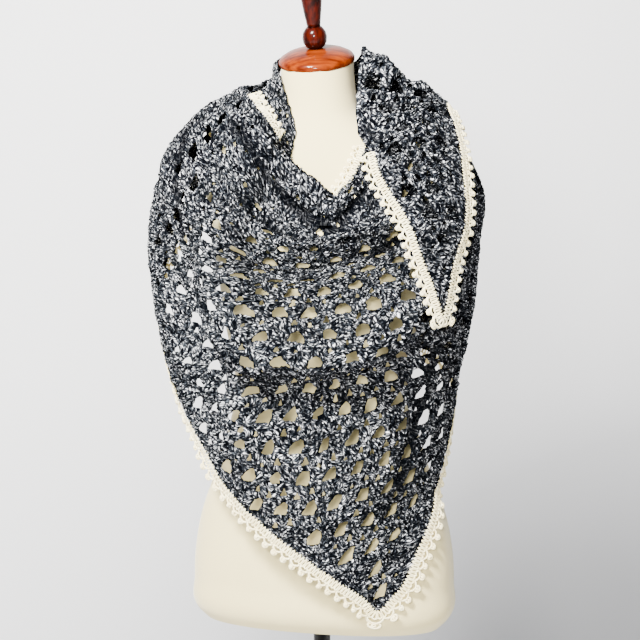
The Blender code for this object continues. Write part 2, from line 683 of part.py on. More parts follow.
def makeForm():
    sides = 36
    angles = np.linspace(0, 2 * np.pi, sides, endpoint=False)
    between = [0.110, 0.195, 0.288, 0.382, 0.472, 0.550, 0.684, 0.701, 0.722]
    heights = np.sort(np.concatenate([column(formRows, formColumns, "height"), between]))
    rings = []
    for height in heights:
        reach = formReach(angles, height)
        rings.append(np.stack([neckLean(height) + reach * np.sin(angles), -reach * np.cos(angles),
                               np.full(sides, standHeight + height)], axis=1))
    top = rings[-1].copy()
    top[:, 2] = standHeight + neckTop + top[:, 1] * math.tan(neckPitch)
    top[:, 2] += (top[:, 0] - neckShift) * math.tan(neckRoll)
    rings[-1] = top
    vertices = np.concatenate(rings + [[[0, 0.03, standHeight + heights[0]]], [top.mean(axis=0)]])
    faces = []
    for i in range(len(rings) - 1):
        for j in range(sides):
            a, b = i * sides + j, i * sides + (j + 1) % sides
            faces.append((a, b, b + sides, a + sides))
    low, high, last = len(vertices) - 2, len(vertices) - 1, (len(rings) - 1) * sides
    for j in range(sides):
        faces.append((low, (j + 1) % sides, j))
        faces.append((high, last + j, last + (j + 1) % sides))
    makeObject("dress_form_body", vertices, faces, "coverCloth")


def makeNeckWood():
    cap = turned("neck_cap", [(0, 0), (0.0505, 0), (0.0520, 0.002), (0.0520, 0.006), (0.0490, 0.0105),
                              (0.0400, 0.0155), (0.0280, 0.0190), (0.0125, 0.0210), (0, 0.0210)], "capWood", 32)
    ball = turned("finial_ball", [(0, 0.0213), (0.0090, 0.0213), (0.0130, 0.0235), (0.0160, 0.0290),
                                  (0.0168, 0.0360), (0.0155, 0.0430), (0.0115, 0.0490), (0.0085, 0.0510),
                                  (0, 0.0510)], "finialWood", 20)
    post = turned("finial_post", [(0, 0.0513), (0.0092, 0.0513), (0.0098, 0.0560), (0.0120, 0.0710),
                                  (0.0145, 0.0910), (0.0155, 0.1040), (0.0140, 0.1160), (0.0090, 0.1240),
                                  (0, 0.1260)], "finialWood", 20)
    lean = Matrix.Rotation(-neckRoll, 4, "Y") @ Matrix.Rotation(neckPitch, 4, "X")
    for piece in (cap, ball, post):
        piece.matrix_world = Matrix.Translation((neckShift, 0, standHeight + neckTop + seamGap)) @ lean


def makeStand():
    plate = 0.010
    collarTop = standHeight + formRows[0][0] - seamGap
    turned("base_plate", [(0, 0), (0.148, 0), (0.150, 0.002), (0.150, 0.007), (0.146, plate), (0, plate)],
           "blackSteel", 48)
    turned("base_hub", [(0, plate + seamGap), (0.030, plate + seamGap), (0.030, 0.016), (0.020, 0.022),
                        (0.0165, 0.050), (0, 0.050)], "blackSteel", 24)
    turned("pole", [(0, 0.0503), (0.0108, 0.0503), (0.0108, collarTop - 0.0303), (0, collarTop - 0.0303)],
           "blackSteel", 20)
    turned("pole_collar", [(0, collarTop - 0.030), (0.0118, collarTop - 0.030), (0.0118, collarTop - 0.008),
                           (0.0340, collarTop - 0.004), (0.0340, collarTop), (0, collarTop)], "blackSteel", 24)


for item in list(bpy.data.objects):
    bpy.data.objects.remove(item, do_unlink=True)
materials = makeMaterials()
stand = bpy.data.objects.new("stand_origin", None)
bpy.context.collection.objects.link(stand)
makeForm()
makeNeckWood()
makeStand()
makeFront()
makeBacks()
makeEnd()
makeTuck()
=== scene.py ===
# Lace shawl on a dress form: the pieces that show, their materials, light and camera.
import math

import bmesh
import bpy
import numpy as np
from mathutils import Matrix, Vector


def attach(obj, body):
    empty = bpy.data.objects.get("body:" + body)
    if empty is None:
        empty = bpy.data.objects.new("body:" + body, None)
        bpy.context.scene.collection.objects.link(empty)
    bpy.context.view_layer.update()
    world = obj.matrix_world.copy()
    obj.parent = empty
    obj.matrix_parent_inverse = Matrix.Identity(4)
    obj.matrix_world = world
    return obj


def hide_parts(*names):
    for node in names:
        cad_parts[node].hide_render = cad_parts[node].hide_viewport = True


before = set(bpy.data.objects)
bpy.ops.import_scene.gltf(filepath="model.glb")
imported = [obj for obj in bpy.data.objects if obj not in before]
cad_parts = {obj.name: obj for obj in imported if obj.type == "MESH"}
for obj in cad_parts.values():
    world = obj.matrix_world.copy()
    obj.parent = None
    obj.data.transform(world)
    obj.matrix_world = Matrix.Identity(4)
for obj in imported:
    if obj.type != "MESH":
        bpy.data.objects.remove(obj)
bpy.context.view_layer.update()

# sizes shared with the solids
standHeight = 0.500
formTurn = math.radians(-15)
formPower = 2.25
clothThick = 0.0030
restGap = 0.0040
tuckGap = 0.0021
roundWidth = 0.17          # mean reach, turns angles into widths on the flat pattern
outerGap = 0.0085          # middle of the outer back stretch off the inner one
endWidth, endLength, endCrown = 0.115, 0.40, 0.030
bareShare, bareRamp = 0.28, 0.06   # shares of the hanging end's length: left edge turned under, then trimmed
tuckReach, tuckDrop, tuckBow = 0.075, 0.065, 0.010
frontTurn = 100            # degrees from the front centre to where the front stretch ends
outerTurn, innerTurn = -265, 232

# dress form: height above the stand, half width, reach to front and back of the pole's axis
formColumns = ("height", "width", "front", "back")
formRows = [
    (0.010, 0.167, 0.076, 0.134),
    (0.022, 0.179, 0.086, 0.146),
    (0.070, 0.184, 0.090, 0.150),
    (0.150, 0.175, 0.086, 0.146),
    (0.240, 0.144, 0.078, 0.122),
    (0.335, 0.122, 0.080, 0.100),
    (0.430, 0.134, 0.106, 0.104),
    (0.515, 0.146, 0.118, 0.112),
    (0.580, 0.158, 0.102, 0.118),
    (0.625, 0.165, 0.088, 0.116),
    (0.655, 0.160, 0.078, 0.104),
    (0.675, 0.132, 0.070, 0.088),
    (0.692, 0.090, 0.062, 0.072),
    (0.710, 0.060, 0.054, 0.060),
    (0.735, 0.051, 0.050, 0.053),
    (0.770, 0.049, 0.049, 0.049),
]
neckTop = 0.783            # middle of the slanted neck opening
neckFoot = 0.690           # height at which the neck begins to lean
neckShift = -0.007         # to the viewer's left at its top
neckPitch = math.radians(17)   # the cap looks forward
neckRoll = math.radians(5)     # and down to the viewer's left

# cape: each row is a line of crochet, v from the long edge, its reach and height round the body
ringColumns = ("v", "leftReach", "leftHeight", "rightReach", "rightHeight", "frontReach", "frontHeight",
               "backReach", "backHeight", "sag", "lean")
ringRows = [
    (-0.030, 0.080, 0.763, 0.036, 0.796, 0.083, 0.618, 0.057, 0.799, 1.20, 10),
    (0.000, 0.101, 0.752, 0.053, 0.778, 0.090, 0.602, 0.066, 0.775, 1.20, 10),
    (0.070, 0.158, 0.722, 0.108, 0.738, 0.112, 0.572, 0.090, 0.720, 1.30, 8),
    (0.140, 0.204, 0.674, 0.163, 0.700, 0.128, 0.546, 0.112, 0.660, 1.50, 0),
    (0.220, 0.229, 0.600, 0.214, 0.622, 0.141, 0.520, 0.128, 0.590, 1.75, -9),
    (0.316, 0.235, 0.522, 0.213, 0.535, 0.153, 0.483, 0.138, 0.500, 2.00, -16),
    (0.412, 0.224, 0.430, 0.204, 0.440, 0.165, 0.397, 0.143, 0.405, 2.00, -17),
    (0.510, 0.202, 0.335, 0.188, 0.360, 0.148, 0.321, 0.147, 0.310, 2.00, -17),
    (0.600, 0.183, 0.260, 0.177, 0.280, 0.139, 0.222, 0.150, 0.225, 2.00, -17),
    (0.700, 0.168, 0.170, 0.165, 0.190, 0.130, 0.119, 0.150, 0.135, 2.00, -17),
    (0.820, 0.154, 0.068, 0.154, 0.094, 0.120, -0.004, 0.150, 0.027, 2.00, -17),
]

# folds over the front: angle, v of the fold's line, height out of the cloth, its spread above and below
foldColumns = ("angle", "line", "height", "above", "below")
foldRows = {
    "collar roll": [
        (-66, 0.040, 0.000, 0.030, 0.030),
        (-30, 0.048, 0.014, 0.024, 0.024),
        (0, 0.046, 0.021, 0.022, 0.022),
        (25, 0.064, 0.015, 0.024, 0.024),
        (55, 0.074, 0.000, 0.030, 0.030),
    ],
    "collar trough": [
        (-62, 0.116, 0.000, 0.030, 0.030),
        (-34, 0.118, -0.018, 0.022, 0.026),
        (0, 0.102, -0.032, 0.020, 0.030),
        (22, 0.116, -0.028, 0.020, 0.028),
        (50, 0.140, 0.000, 0.030, 0.030),
    ],
    "second roll": [
        (-64, 0.176, 0.000, 0.030, 0.040),
        (-34, 0.180, 0.018, 0.026, 0.034),
        (4, 0.168, 0.024, 0.026, 0.034),
        (30, 0.182, 0.018, 0.026, 0.034),
        (60, 0.200, 0.000, 0.030, 0.040),
    ],
    "shallow trough": [
        (-58, 0.236, 0.000, 0.030, 0.030),
        (-30, 0.240, -0.010, 0.024, 0.040),
        (8, 0.230, -0.013, 0.024, 0.040),
        (34, 0.240, -0.010, 0.024, 0.040),
        (60, 0.250, 0.000, 0.030, 0.030),
    ],
    "shoulder ridge and lip": [
        (-70, 0.020, 0.000, 0.060, 0.060),
        (-53, 0.042, 0.015, 0.050, 0.050),
        (-42, 0.106, 0.024, 0.045, 0.040),
        (-36, 0.228, 0.026, 0.050, 0.036),
        (-29, 0.366, 0.028, 0.060, 0.026),
        (-10, 0.408, 0.032, 0.046, 0.018),
        (14, 0.414, 0.032, 0.046, 0.018),
        (47, 0.364, 0.020, 0.050, 0.024),
        (78, 0.320, 0.000, 0.060, 0.040),
    ],
    "trough under the lip": [
        (-84, 0.230, 0.000, 0.050, 0.060),
        (-60, 0.280, -0.018, 0.036, 0.060),
        (-44, 0.410, -0.024, 0.030, 0.050),
        (-14, 0.458, -0.026, 0.022, 0.045),
        (12, 0.464, -0.026, 0.022, 0.045),
        (40, 0.430, -0.020, 0.028, 0.045),
        (78, 0.380, 0.000, 0.050, 0.060),
    ],
    "left fold below the lip": [
        (-72, 0.430, 0.000, 0.030, 0.030),
        (-58, 0.440, 0.010, 0.026, 0.040),
        (-40, 0.490, 0.013, 0.026, 0.040),
        (-22, 0.530, 0.008, 0.026, 0.040),
        (-4, 0.550, 0.000, 0.030, 0.030),
    ],
}

# upper and lower edge of the cape round the body: angle and v
frontTopRows = [
    (-100, 0.000), (-68, 0.004), (-33, 0.018), (-17, 0.032), (-4, 0.024), (13, 0.018), (24, 0.036),
    (33, 0.038), (46, 0.036), (58, 0.044), (70, 0.042), (85, 0.022), (100, 0.000),
]
frontHemRows = [
    (-100, 0.385), (-90, 0.450), (-75, 0.520), (-60, 0.574), (-53, 0.606), (-39, 0.630), (-23.5, 0.661),
    (-6.5, 0.699), (7.5, 0.740), (21, 0.783), (27.5, 0.810), (30.5, 0.810), (35, 0.799), (40.5, 0.782),
    (45, 0.752), (51, 0.723), (58, 0.698), (66, 0.672), (72, 0.643), (80, 0.602), (90, 0.560), (100, 0.520),
]
outerHemRows = [
    (-265, 0.145), (-240, 0.170), (-210, 0.198), (-180, 0.220), (-150, 0.240), (-125, 0.275), (-100, 0.385),
]
innerHemRows = [
    (100, 0.520), (108, 0.494), (120, 0.478), (135, 0.455), (150, 0.410), (165, 0.340), (180, 0.270),
    (205, 0.170), (232, 0.100),
]
outerTopRows = [
    (-265, -0.020), (-240, -0.010), (-200, 0.010), (-180, 0.022), (-150, 0.026), (-125, 0.022), (-110, 0.008),
    (-100, 0.000),
]
innerTopRows = [(100, 0.000), (232, 0.000)]
# how far the outer stretch stands off the inner one
outerLiftRows = [(-265, 0.018), (-240, 0.018), (-200, 0.014), (-140, 0.012), (-116, 0.003), (-100, 0.000)]

# end that hangs over the right shoulder: both of its edges, as places on the cape, and its height off it
endColumns = ("along", "leftAngle", "leftV", "rightAngle", "rightV", "lift")
endRows = [
    (0.00, 93.8, -0.026, 94.7, 0.145, 0.018),
    (0.14, 59.0, -0.010, 81.0, 0.142, 0.026),
    (0.32, 37.0, 0.046, 69.0, 0.168, 0.031),
    (0.50, 26.5, 0.135, 57.0, 0.212, 0.035),
    (0.70, 26.0, 0.265, 49.5, 0.290, 0.036),
    (0.88, 34.0, 0.366, 45.0, 0.376, 0.037),
    (1.00, 40.5, 0.424, 42.0, 0.427, 0.034),
]
# two soft bumps just in front of its crest: place across the end, height, spread
crestRows = [(0.28, 0.016, 0.13), (0.68, 0.009, 0.14)]
crestPlace, crestSpread = 0.08, 0.045

# end of the inner stretch, tucked between the neck and the front: upper and lower edge
tuckColumns = ("angle", "topReach", "topHeight", "lowReach", "lowHeight")
tuckRows = [
    (-150, 0.064, 0.786, 0.090, 0.716),
    (-120, 0.063, 0.792, 0.098, 0.722),
    (-90, 0.062, 0.781, 0.100, 0.724),
    (-65, 0.062, 0.760, 0.092, 0.694),
    (-45, 0.062, 0.720, 0.084, 0.664),
    (-30, 0.064, 0.690, 0.081, 0.645),
]

# laces: v of the first line of holes, number of lines, their pitch, spacing of the holes, the first
# hole's place from the front centre, its step from line to line, the line it counts from, hole sizes
laceColumns = ("first", "rows", "pitch", "spacing", "start", "step", "startRow", "width", "height", "slant")
laceRows = [
    (0.0280, 13, 0.0320, 0.0415, -0.0388, 0.0235, 9, 0.0215, 0.0165, 0.0),
    (0.4445, 2, 0.0325, 0.0400, -0.0388, 0.0200, 0, 0.0200, 0.0150, 0.1),
    (0.5100, 8, 0.0385, 0.0370, -0.0400, 0.0077, 0, 0.0190, 0.0200, 0.45),
    (0.0260, 12, 0.0300, 0.0340, 0.0060, 0.0170, 0, 0.0200, 0.0165, 0.0),
    (0.0200, 2, 0.0260, 0.0340, 0.0000, 0.0170, 0, 0.0150, 0.0120, 0.0),
]
upperLace, middleLace, lowerLace, endLace, tuckLace = [dict(zip(laceColumns, row)) for row in laceRows]


# smooth curve through the rows of a table, held at its ends
def smooth(x, xs, ys):
    x = np.clip(np.asarray(x, float), xs[0], xs[-1])
    steps = np.diff(xs)
    rises = np.diff(ys) / steps
    slopes = np.empty_like(ys)
    slopes[1:-1] = (rises[1:] * steps[:-1] + rises[:-1] * steps[1:]) / (xs[2:] - xs[:-2])
    slopes[0], slopes[-1] = rises[0], rises[-1]
    i = np.clip(np.searchsorted(xs, x, side="right") - 1, 0, len(xs) - 2)
    h = steps[i]
    t = (x - xs[i]) / h
    return ((2 * t ** 3 - 3 * t ** 2 + 1) * ys[i] + (t ** 3 - 2 * t ** 2 + t) * h * slopes[i]
            + (3 * t ** 2 - 2 * t ** 3) * ys[i + 1] + (t ** 3 - t ** 2) * h * slopes[i + 1])


# a table of two columns, read at x
def edgeAt(x, rows):
    return smooth(x, *np.array(rows, float).T)


# a table's other columns by name, read at x along its first one
def read(x, rows, names):
    xs, *columns = np.array(rows, float).T
    return {name: smooth(x, xs, ys) for name, ys in zip(names[1:], columns)}


# reach of the form from the pole's axis, at an angle and height
def formReach(angle, height):
    turned = angle - formTurn
    at = read(height, formRows, formColumns)
    depth = np.where(np.cos(turned) > 0, at["front"], at["back"])
    across = np.abs(np.sin(turned) / at["width"]) ** formPower
    along = np.abs(np.cos(turned) / depth) ** formPower
    return (across + along) ** (-1 / formPower)


# how far the form's middle lies off the pole's axis, sideways
def neckLean(height):
    return neckShift * np.clip((height - neckFoot) / (neckTop - neckFoot), 0, 1)


# points inside the form are moved out to lie on it
def clearOfForm(points, gap):
    lean = neckLean(points[..., 2] - standHeight)
    x, y, z = points[..., 0] - lean, points[..., 1], points[..., 2]
    reach = np.hypot(x, y)
    need = formReach(np.arctan2(x, -y), z - standHeight) + gap
    scale = np.where(reach < need, need / np.maximum(reach, 1e-6), 1.0)
    return np.stack([x * scale + lean, y * scale, z], axis=-1)


# point of the smooth cape at an angle round the body and v from its long edge
def ring(angle, v):
    at = read(v, ringRows, ringColumns)
    s, c = np.sin(angle), np.cos(angle)
    left, front = s < 0, c > 0
    sideReach = np.where(left, at["leftReach"], at["rightReach"])
    sideHeight = np.where(left, at["leftHeight"], at["rightHeight"])
    endReach = np.where(front, at["frontReach"], at["backReach"])
    endHeight = np.where(front, at["frontHeight"], at["backHeight"])
    leant = np.where(front, angle - np.radians(at["lean"]) * c * c, angle)
    rise = np.abs(np.sin(leant)) ** np.where(front, at["sag"], 2.0)
    height = standHeight + endHeight + (sideHeight - endHeight) * rise
    return np.stack([sideReach * s, -endReach * c, height], axis=-1)


# how far the folds push the front in or out
def foldHeight(angle, v):
    degrees = np.degrees(angle)
    total = 0.0
    for rows in foldRows.values():
        at, further = [read(place, rows, foldColumns) for place in (degrees, degrees + 1)]
        slope = (further["line"] - at["line"]) / (math.radians(1) * roundWidth)
        away = v - at["line"]
        spread = np.where(away < 0, at["above"], at["below"]) * np.sqrt(1 + slope ** 2)
        height = at["height"] * np.exp(-(away / spread) ** 2)
        total = total + np.where((degrees > rows[0][0]) & (degrees < rows[-1][0]), height, 0.0)
    return total


# unit normal of a surface, away from the body
def outward(surface, angle, v):
    step = 5e-4
    acrossStep = surface(angle + step, v) - surface(angle - step, v)
    downStep = surface(angle, v + step) - surface(angle, v - step)
    return unit(np.cross(downStep, acrossStep))


def frontCloth(x, v):
    angle = x / roundWidth
    points = ring(angle, v) + outward(ring, angle, v) * foldHeight(angle, v)[..., None]
    return clearOfForm(points, restGap + clothThick / 2)


def outerBackCloth(x, v):
    angle = x / roundWidth
    lift = edgeAt(np.degrees(angle), outerLiftRows)
    points = ring(angle, v) + outward(ring, angle, v) * lift[..., None]
    return clearOfForm(points, restGap + outerGap)


def innerBackCloth(x, v):
    return clearOfForm(ring(x / roundWidth, v), restGap + clothThick / 2)


# tucked end, x round the neck and y down from its upper edge
def tuckCloth(x, y):
    angle, t = x / tuckReach, y / tuckDrop
    at = read(np.degrees(angle), tuckRows, tuckColumns)
    bow = tuckBow * np.sin(np.pi * np.clip(t, 0, 1))
    reach = at["topReach"] + (at["lowReach"] - at["topReach"]) * t - bow
    height = standHeight + at["topHeight"] + (at["lowHeight"] - at["topHeight"]) * t
    points = np.stack([reach * np.sin(angle), -reach * np.cos(angle), height], axis=-1)
    return clearOfForm(points, tuckGap + clothThick / 2)


# hanging end, x across it from its left edge and y along it from the shoulder's crest
def endCloth(x, y):
    s, along = x / endWidth, y / endLength
    at = read(along, endRows, endColumns)
    angle = np.radians(at["leftAngle"] + (at["rightAngle"] - at["leftAngle"]) * s)
    v = at["leftV"] + (at["rightV"] - at["leftV"]) * s
    lift = at["lift"] + endCrown * (1 - (2 * s - 1) ** 2) * (1 - along) * along
    for place, height, spread in crestRows:
        away = ((s - place) / spread) ** 2 + ((along - crestPlace) / crestSpread) ** 2
        lift = lift + height * np.exp(-away)
    return ring(angle, v) + outward(ring, angle, v) * lift[..., None]


# smooth random values from 0 to 1, one new value for each size
def noiseAt(x, y, size, seed):
    x, y = np.asarray(x, float) / size + seed * 17.3, np.asarray(y, float) / size + seed * 5.9
    i, j = np.floor(x), np.floor(y)
    fx, fy = x - i, y - j
    fx, fy = fx * fx * (3 - 2 * fx), fy * fy * (3 - 2 * fy)

    def dot(a, b):
        t = np.sin(a * 127.1 + b * 311.7 + seed * 74.7) * 43758.5453
        return t - np.floor(t)
    low = dot(i, j) * (1 - fx) + dot(i + 1, j) * fx
    high = dot(i, j + 1) * (1 - fx) + dot(i + 1, j + 1) * fx
    return low * (1 - fy) + high * fy


# one random value from 0 to 1 for a pair of whole numbers
def chance(a, b, seed):
    t = np.sin(a * 91.7 + b * 47.3 + seed * 13.1) * 24634.6345
    return float(t - np.floor(t))


# length from the first point of a line to each of its points
def lengthsAlong(points):
    return np.concatenate([[0], np.cumsum(np.linalg.norm(np.diff(points, axis=0), axis=1))])


# rows of vectors at length one
def unit(vectors):
    return vectors / np.maximum(np.linalg.norm(vectors, axis=-1, keepdims=True), 1e-12)


# a stretch's flat pattern in real widths: u along a line of crochet, v across the lines
class Pattern:
    def __init__(self, surface, places, vRange, centre, pitch):
        self.surface, self.places, self.pitch = surface, places, pitch
        self.vs = np.arange(vRange[0], vRange[1] + pitch, pitch)
        lengths = []
        for v in self.vs:
            along = lengthsAlong(surface(places, np.full_like(places, v)))
            lengths.append(along - np.interp(centre, places, along))
        self.lengths = np.array(lengths)
        self.us = np.arange(self.lengths.min(), self.lengths.max() + pitch, pitch)
        self.table = np.stack([self.backwards(row) for row in self.lengths])

    # places for evenly spaced widths on one line, carried on straight past its ends
    def backwards(self, row):
        found = np.interp(self.us, row, self.places)
        perWidth = (self.places[-1] - self.places[0]) / (row[-1] - row[0])
        found = np.where(self.us > row[-1], self.places[-1] + (self.us - row[-1]) * perWidth, found)
        return np.where(self.us < row[0], self.places[0] + (self.us - row[0]) * perWidth, found)

    # the surface's own coordinate for a width along a line
    def placeOf(self, u, v):
        i = np.clip((v - self.vs[0]) / self.pitch, 0, len(self.vs) - 1.001)
        j = np.clip((u - self.us[0]) / self.pitch, 0, len(self.us) - 1.001)
        a, b = i.astype(int), j.astype(int)
        s, t = i - a, j - b
        near = self.table[a, b] * (1 - t) + self.table[a, b + 1] * t
        far = self.table[a + 1, b] * (1 - t) + self.table[a + 1, b + 1] * t
        return near * (1 - s) + far * s

    # the width along a line at one of the surface's own coordinates
    def widthOf(self, place, v):
        i = int(np.clip((v - self.vs[0]) / self.pitch, 0, len(self.vs) - 1))
        return float(np.interp(place, self.places, self.lengths[i]))


# distance from places to a straight run between two points, and their share of the way along it
def runAway(u, v, start, end):
    x, y, du, dv = u - start[0], v - start[1], end[0] - start[0], end[1] - start[1]
    t = np.clip((x * du + y * dv) / max(du * du + dv * dv, 1e-12), 0, 1)
    return np.hypot(x - t * du, y - t * dv), t


# slices of the pattern's grid round some points
def windowOf(pattern, us, vs, reach):
    a = max(int((min(vs) - reach - pattern.vs[0]) / pattern.pitch), 0)
    b = int((max(vs) + reach - pattern.vs[0]) / pattern.pitch) + 2
    c = max(int((min(us) - reach - pattern.us[0]) / pattern.pitch), 0)
    d = int((max(us) + reach - pattern.us[0]) / pattern.pitch) + 2
    return slice(a, max(b, a)), slice(c, max(d, c))


# distance to the outline on the grid, positive on the cloth
def edgeDistances(pattern, outline, inside, reach=0.024):
    u, v = np.meshgrid(pattern.us, pattern.vs)
    found = np.full(u.shape, reach)
    for start, end in zip(outline, np.roll(outline, -1, axis=0)):
        window = windowOf(pattern, (start[0], end[0]), (start[1], end[1]), reach)
        away, _ = runAway(u[window], v[window], start, end)
        found[window] = np.minimum(found[window], away)
    return np.where(inside(pattern.table, v), found, -found)


# takes a rounded hole out of the distances
def cutHole(pattern, distances, corners, rounding):
    us, vs = np.array(corners).T
    window = windowOf(pattern, us, vs, 0.008)
    u, v = np.meshgrid(pattern.us[window[1]], pattern.vs[window[0]])
    if not u.size:
        return
    nearest = np.full(u.shape, 1.0)
    sign = np.ones(u.shape)
    for i in range(len(corners)):
        u1, v1, u2, v2 = us[i], vs[i], us[i - 1], vs[i - 1]
        nearest = np.minimum(nearest, runAway(u, v, (u1, v1), (u2, v2))[0])
        rise = v2 - v1 if abs(v2 - v1) > 1e-9 else 1e-9
        crossed = (v1 > v) != (v2 > v)
        right = u < u1 + (v - v1) / rise * (u2 - u1)
        sign = np.where(crossed & right, -sign, sign)
    distances[window] = np.minimum(distances[window], nearest * sign - rounding)


# holes: how round their corners are, how uneven they lie, and the room that they keep to the edge
holeLook = {"rounding": 0.0016, "smallRounding": 0.0012, "unevenWide": 0.0035, "unevenHigh": 0.0030,
            "leastRoom": 0.006, "room": 0.019, "smallRoom": 0.012, "smallSkipped": 0.34,
            "smallLeast": 0.0013, "smallMore": 0.0022}
holeShape = [(-1, 1), (1, 1), (0.95, 0.1), (0.5, -0.75), (0, -1), (-0.6, -0.7), (-0.95, 0.15)]
smallPlaces = ((0.50, 0.46), (0.02, 0.60))   # shares of the spacing and the pitch


# how wide and high the holes hang open on the cape, and the share of them that does
def openness(degrees, v):
    if abs(degrees + 15) > 105:
        return 0.66, 0.85, 0.85
    if degrees < -50:
        return (0.84, 1.35, 0.95) if v < 0.30 else (0.78, 0.95, 0.90)
    if v < 0.125 and degrees < 50:
        return 0.62, 0.60, 0.38
    if v < 0.200 and degrees < 50:
        return 0.66, 0.80, 0.60
    if degrees > 50 and v < 0.33:
        return 0.55, 0.80, 0.70
    return 0.94, 0.96, 1.0


# corners of one domed hole, a little different from its neighbours
def laceHole(u, v, lace, size, seed):
    w = lace["width"] / 2 * size[0] - holeLook["rounding"]
    h = lace["height"] / 2 * size[1] - holeLook["rounding"]
    corners = []
    for k, (x, y) in enumerate(holeShape):
        x = x * w + (chance(u * 1000, k, seed) - 0.5) * holeLook["unevenWide"]
        y = y * h + (chance(v * 1000, k + 9, seed) - 0.5) * holeLook["unevenHigh"]
        corners.append((u + x - lace["slant"] * y, v + y))
    return corners


# all holes of one lace, and the small ones between them
def cutLace(pattern, distances, lace, seed, sizeAt=openness):
    outline = distances.copy()
    for row in range(lace["rows"]):
        line = lace["first"] + row * lace["pitch"]
        start = lace["start"] + (row - lace["startRow"]) * lace["step"]
        for place in range(-40, 41):
            u = start + place * lace["spacing"] + (chance(place, row, seed + 3) - 0.5) * 0.003
            v = line + (chance(place, row, seed) - 0.5) * 0.002
            if clothAt(pattern, outline, u, v) < holeLook["leastRoom"]:
                continue
            degrees = math.degrees(float(pattern.placeOf(np.array(u), np.array(v))) / roundWidth)
            wide, high, share = sizeAt(degrees, v)
            own = 0.86 + 0.20 * chance(place, row, seed + 5)
            if clothAt(pattern, outline, u, v) > holeLook["room"] and chance(place, row, 2) < share:
                hole = laceHole(u, v, lace, (wide * own, high * own), seed)
                cutHole(pattern, distances, hole, holeLook["rounding"])
            for aside, down in smallPlaces:
                su = u + lace["spacing"] * aside - lace["slant"] * lace["pitch"] * down
                sv = v + lace["pitch"] * down
                kept = chance(place, row, seed + 8 + aside) >= holeLook["smallSkipped"]
                if not kept or clothAt(pattern, outline, su, sv) < holeLook["smallRoom"]:
                    continue
                r = holeLook["smallLeast"] + holeLook["smallMore"] * chance(place, row, seed + 11 + aside)
                r = r * (0.5 + 0.5 * share) * wide / 0.85
                corners = [(su - r, sv + r), (su + r, sv + r * 0.7), (su + r * 0.2, sv - 1.4 * r)]
                cutHole(pattern, distances, corners, holeLook["smallRounding"])
    u, v = np.meshgrid(pattern.us, pattern.vs)
    distances += (noiseAt(u, v, 0.0052, seed + 40) - 0.5) * 0.0018


def clothAt(pattern, distances, u, v):
    i = int(round((v - pattern.vs[0]) / pattern.pitch))
    j = int(round((u - pattern.us[0]) / pattern.pitch))
    if 0 <= i < len(pattern.vs) and 0 <= j < len(pattern.us):
        return distances[i, j]
    return -1.0


# stitches: how far apart and how high; wide unevenness last
stitchLook = {"bead": 0.0078, "post": 0.0070, "chainSpread": 0.0034, "postLean": 0.45, "chainHigh": 0.0014,
              "postHigh": 0.0015, "roughHigh": 0.0026, "unevenHigh": 0.0024}


# height of the stitches out of the cloth: chains between the lines of holes, posts within them
def stitchRelief(u, v, lace, seed):
    look = stitchLook
    line = (v - lace["first"]) / lace["pitch"]
    row = np.round(line)
    within = (line - row) * lace["pitch"]
    warpU = (noiseAt(u, v, 0.009, seed) - 0.5) * 0.006
    warpV = (noiseAt(u, v, 0.008, seed + 1) - 0.5) * 0.005
    offRidge = lace["pitch"] / 2 - np.abs(within + warpV)
    beads = np.cos(2 * np.pi * (u + warpU) / look["bead"] + row * 2)
    chain = np.exp(-(offRidge / look["chainSpread"]) ** 2)
    lean = lace["slant"] + look["postLean"] * np.where(row % 2 == 0, 1, -1)
    posts = np.cos(2 * np.pi * (u + warpU + lean * within) / look["post"])
    rough = noiseAt(u, v, 0.0046, seed + 2) - 0.5
    uneven = noiseAt(u, v, 0.024, seed + 3) - 0.5
    return (look["chainHigh"] * chain * (1 + 0.6 * beads) + look["postHigh"] * posts * (1 - chain)
            + look["roughHigh"] * rough + look["unevenHigh"] * uneven)


# relief of a stretch with one lace
def reliefOf(lace):
    return lambda u, v, seed: stitchRelief(u, v, lace, seed)


# a piece from its points and faces, with values for each point
def newPiece(name, vertices, faces, finish, attributes=(), sharpFrom=None):
    mesh = bpy.data.meshes.new(name)
    mesh.from_pydata(vertices, [], faces)
    mesh.validate()
    for title, values in attributes:
        if values.ndim == 2:
            corners = np.concatenate(faces)
            layer = mesh.uv_layers.new(name=title)
            layer.data.foreach_set("uv", np.asarray(values[corners], np.float32).ravel())
        else:
            layer = mesh.attributes.new(title, "FLOAT", "POINT")
            layer.data.foreach_set("value", values.astype(np.float32))
    return placed(name, mesh, finish, sharpFrom)


# shades a mesh smooth, with edges sharp from an angle where one is given, and adds it to the scene
def placed(name, mesh, finish, sharpFrom=None):
    mesh.shade_smooth()
    if sharpFrom is not None:
        mesh.set_sharp_from_angle(angle=math.radians(sharpFrom))
    mesh.materials.clear()
    mesh.materials.append(materials[finish])
    piece = bpy.data.objects.new(name, mesh)
    bpy.context.scene.collection.objects.link(piece)
    return piece


# rims of the crochet: how far in the cloth falls towards them, and the two rings that roll them over
rimLook = {"reach": 0.0042, "fall": 0.0016, "rings": ((-0.0007, -0.0013), (0.0004, -0.0030))}
faceLift = 0.0006          # mean height of the stitches off the cloth's own face
# the span also sets how dark the painted shade gets in the hollows
reliefSpan = 0.0058        # from the deepest hollow between stitches to the highest crest
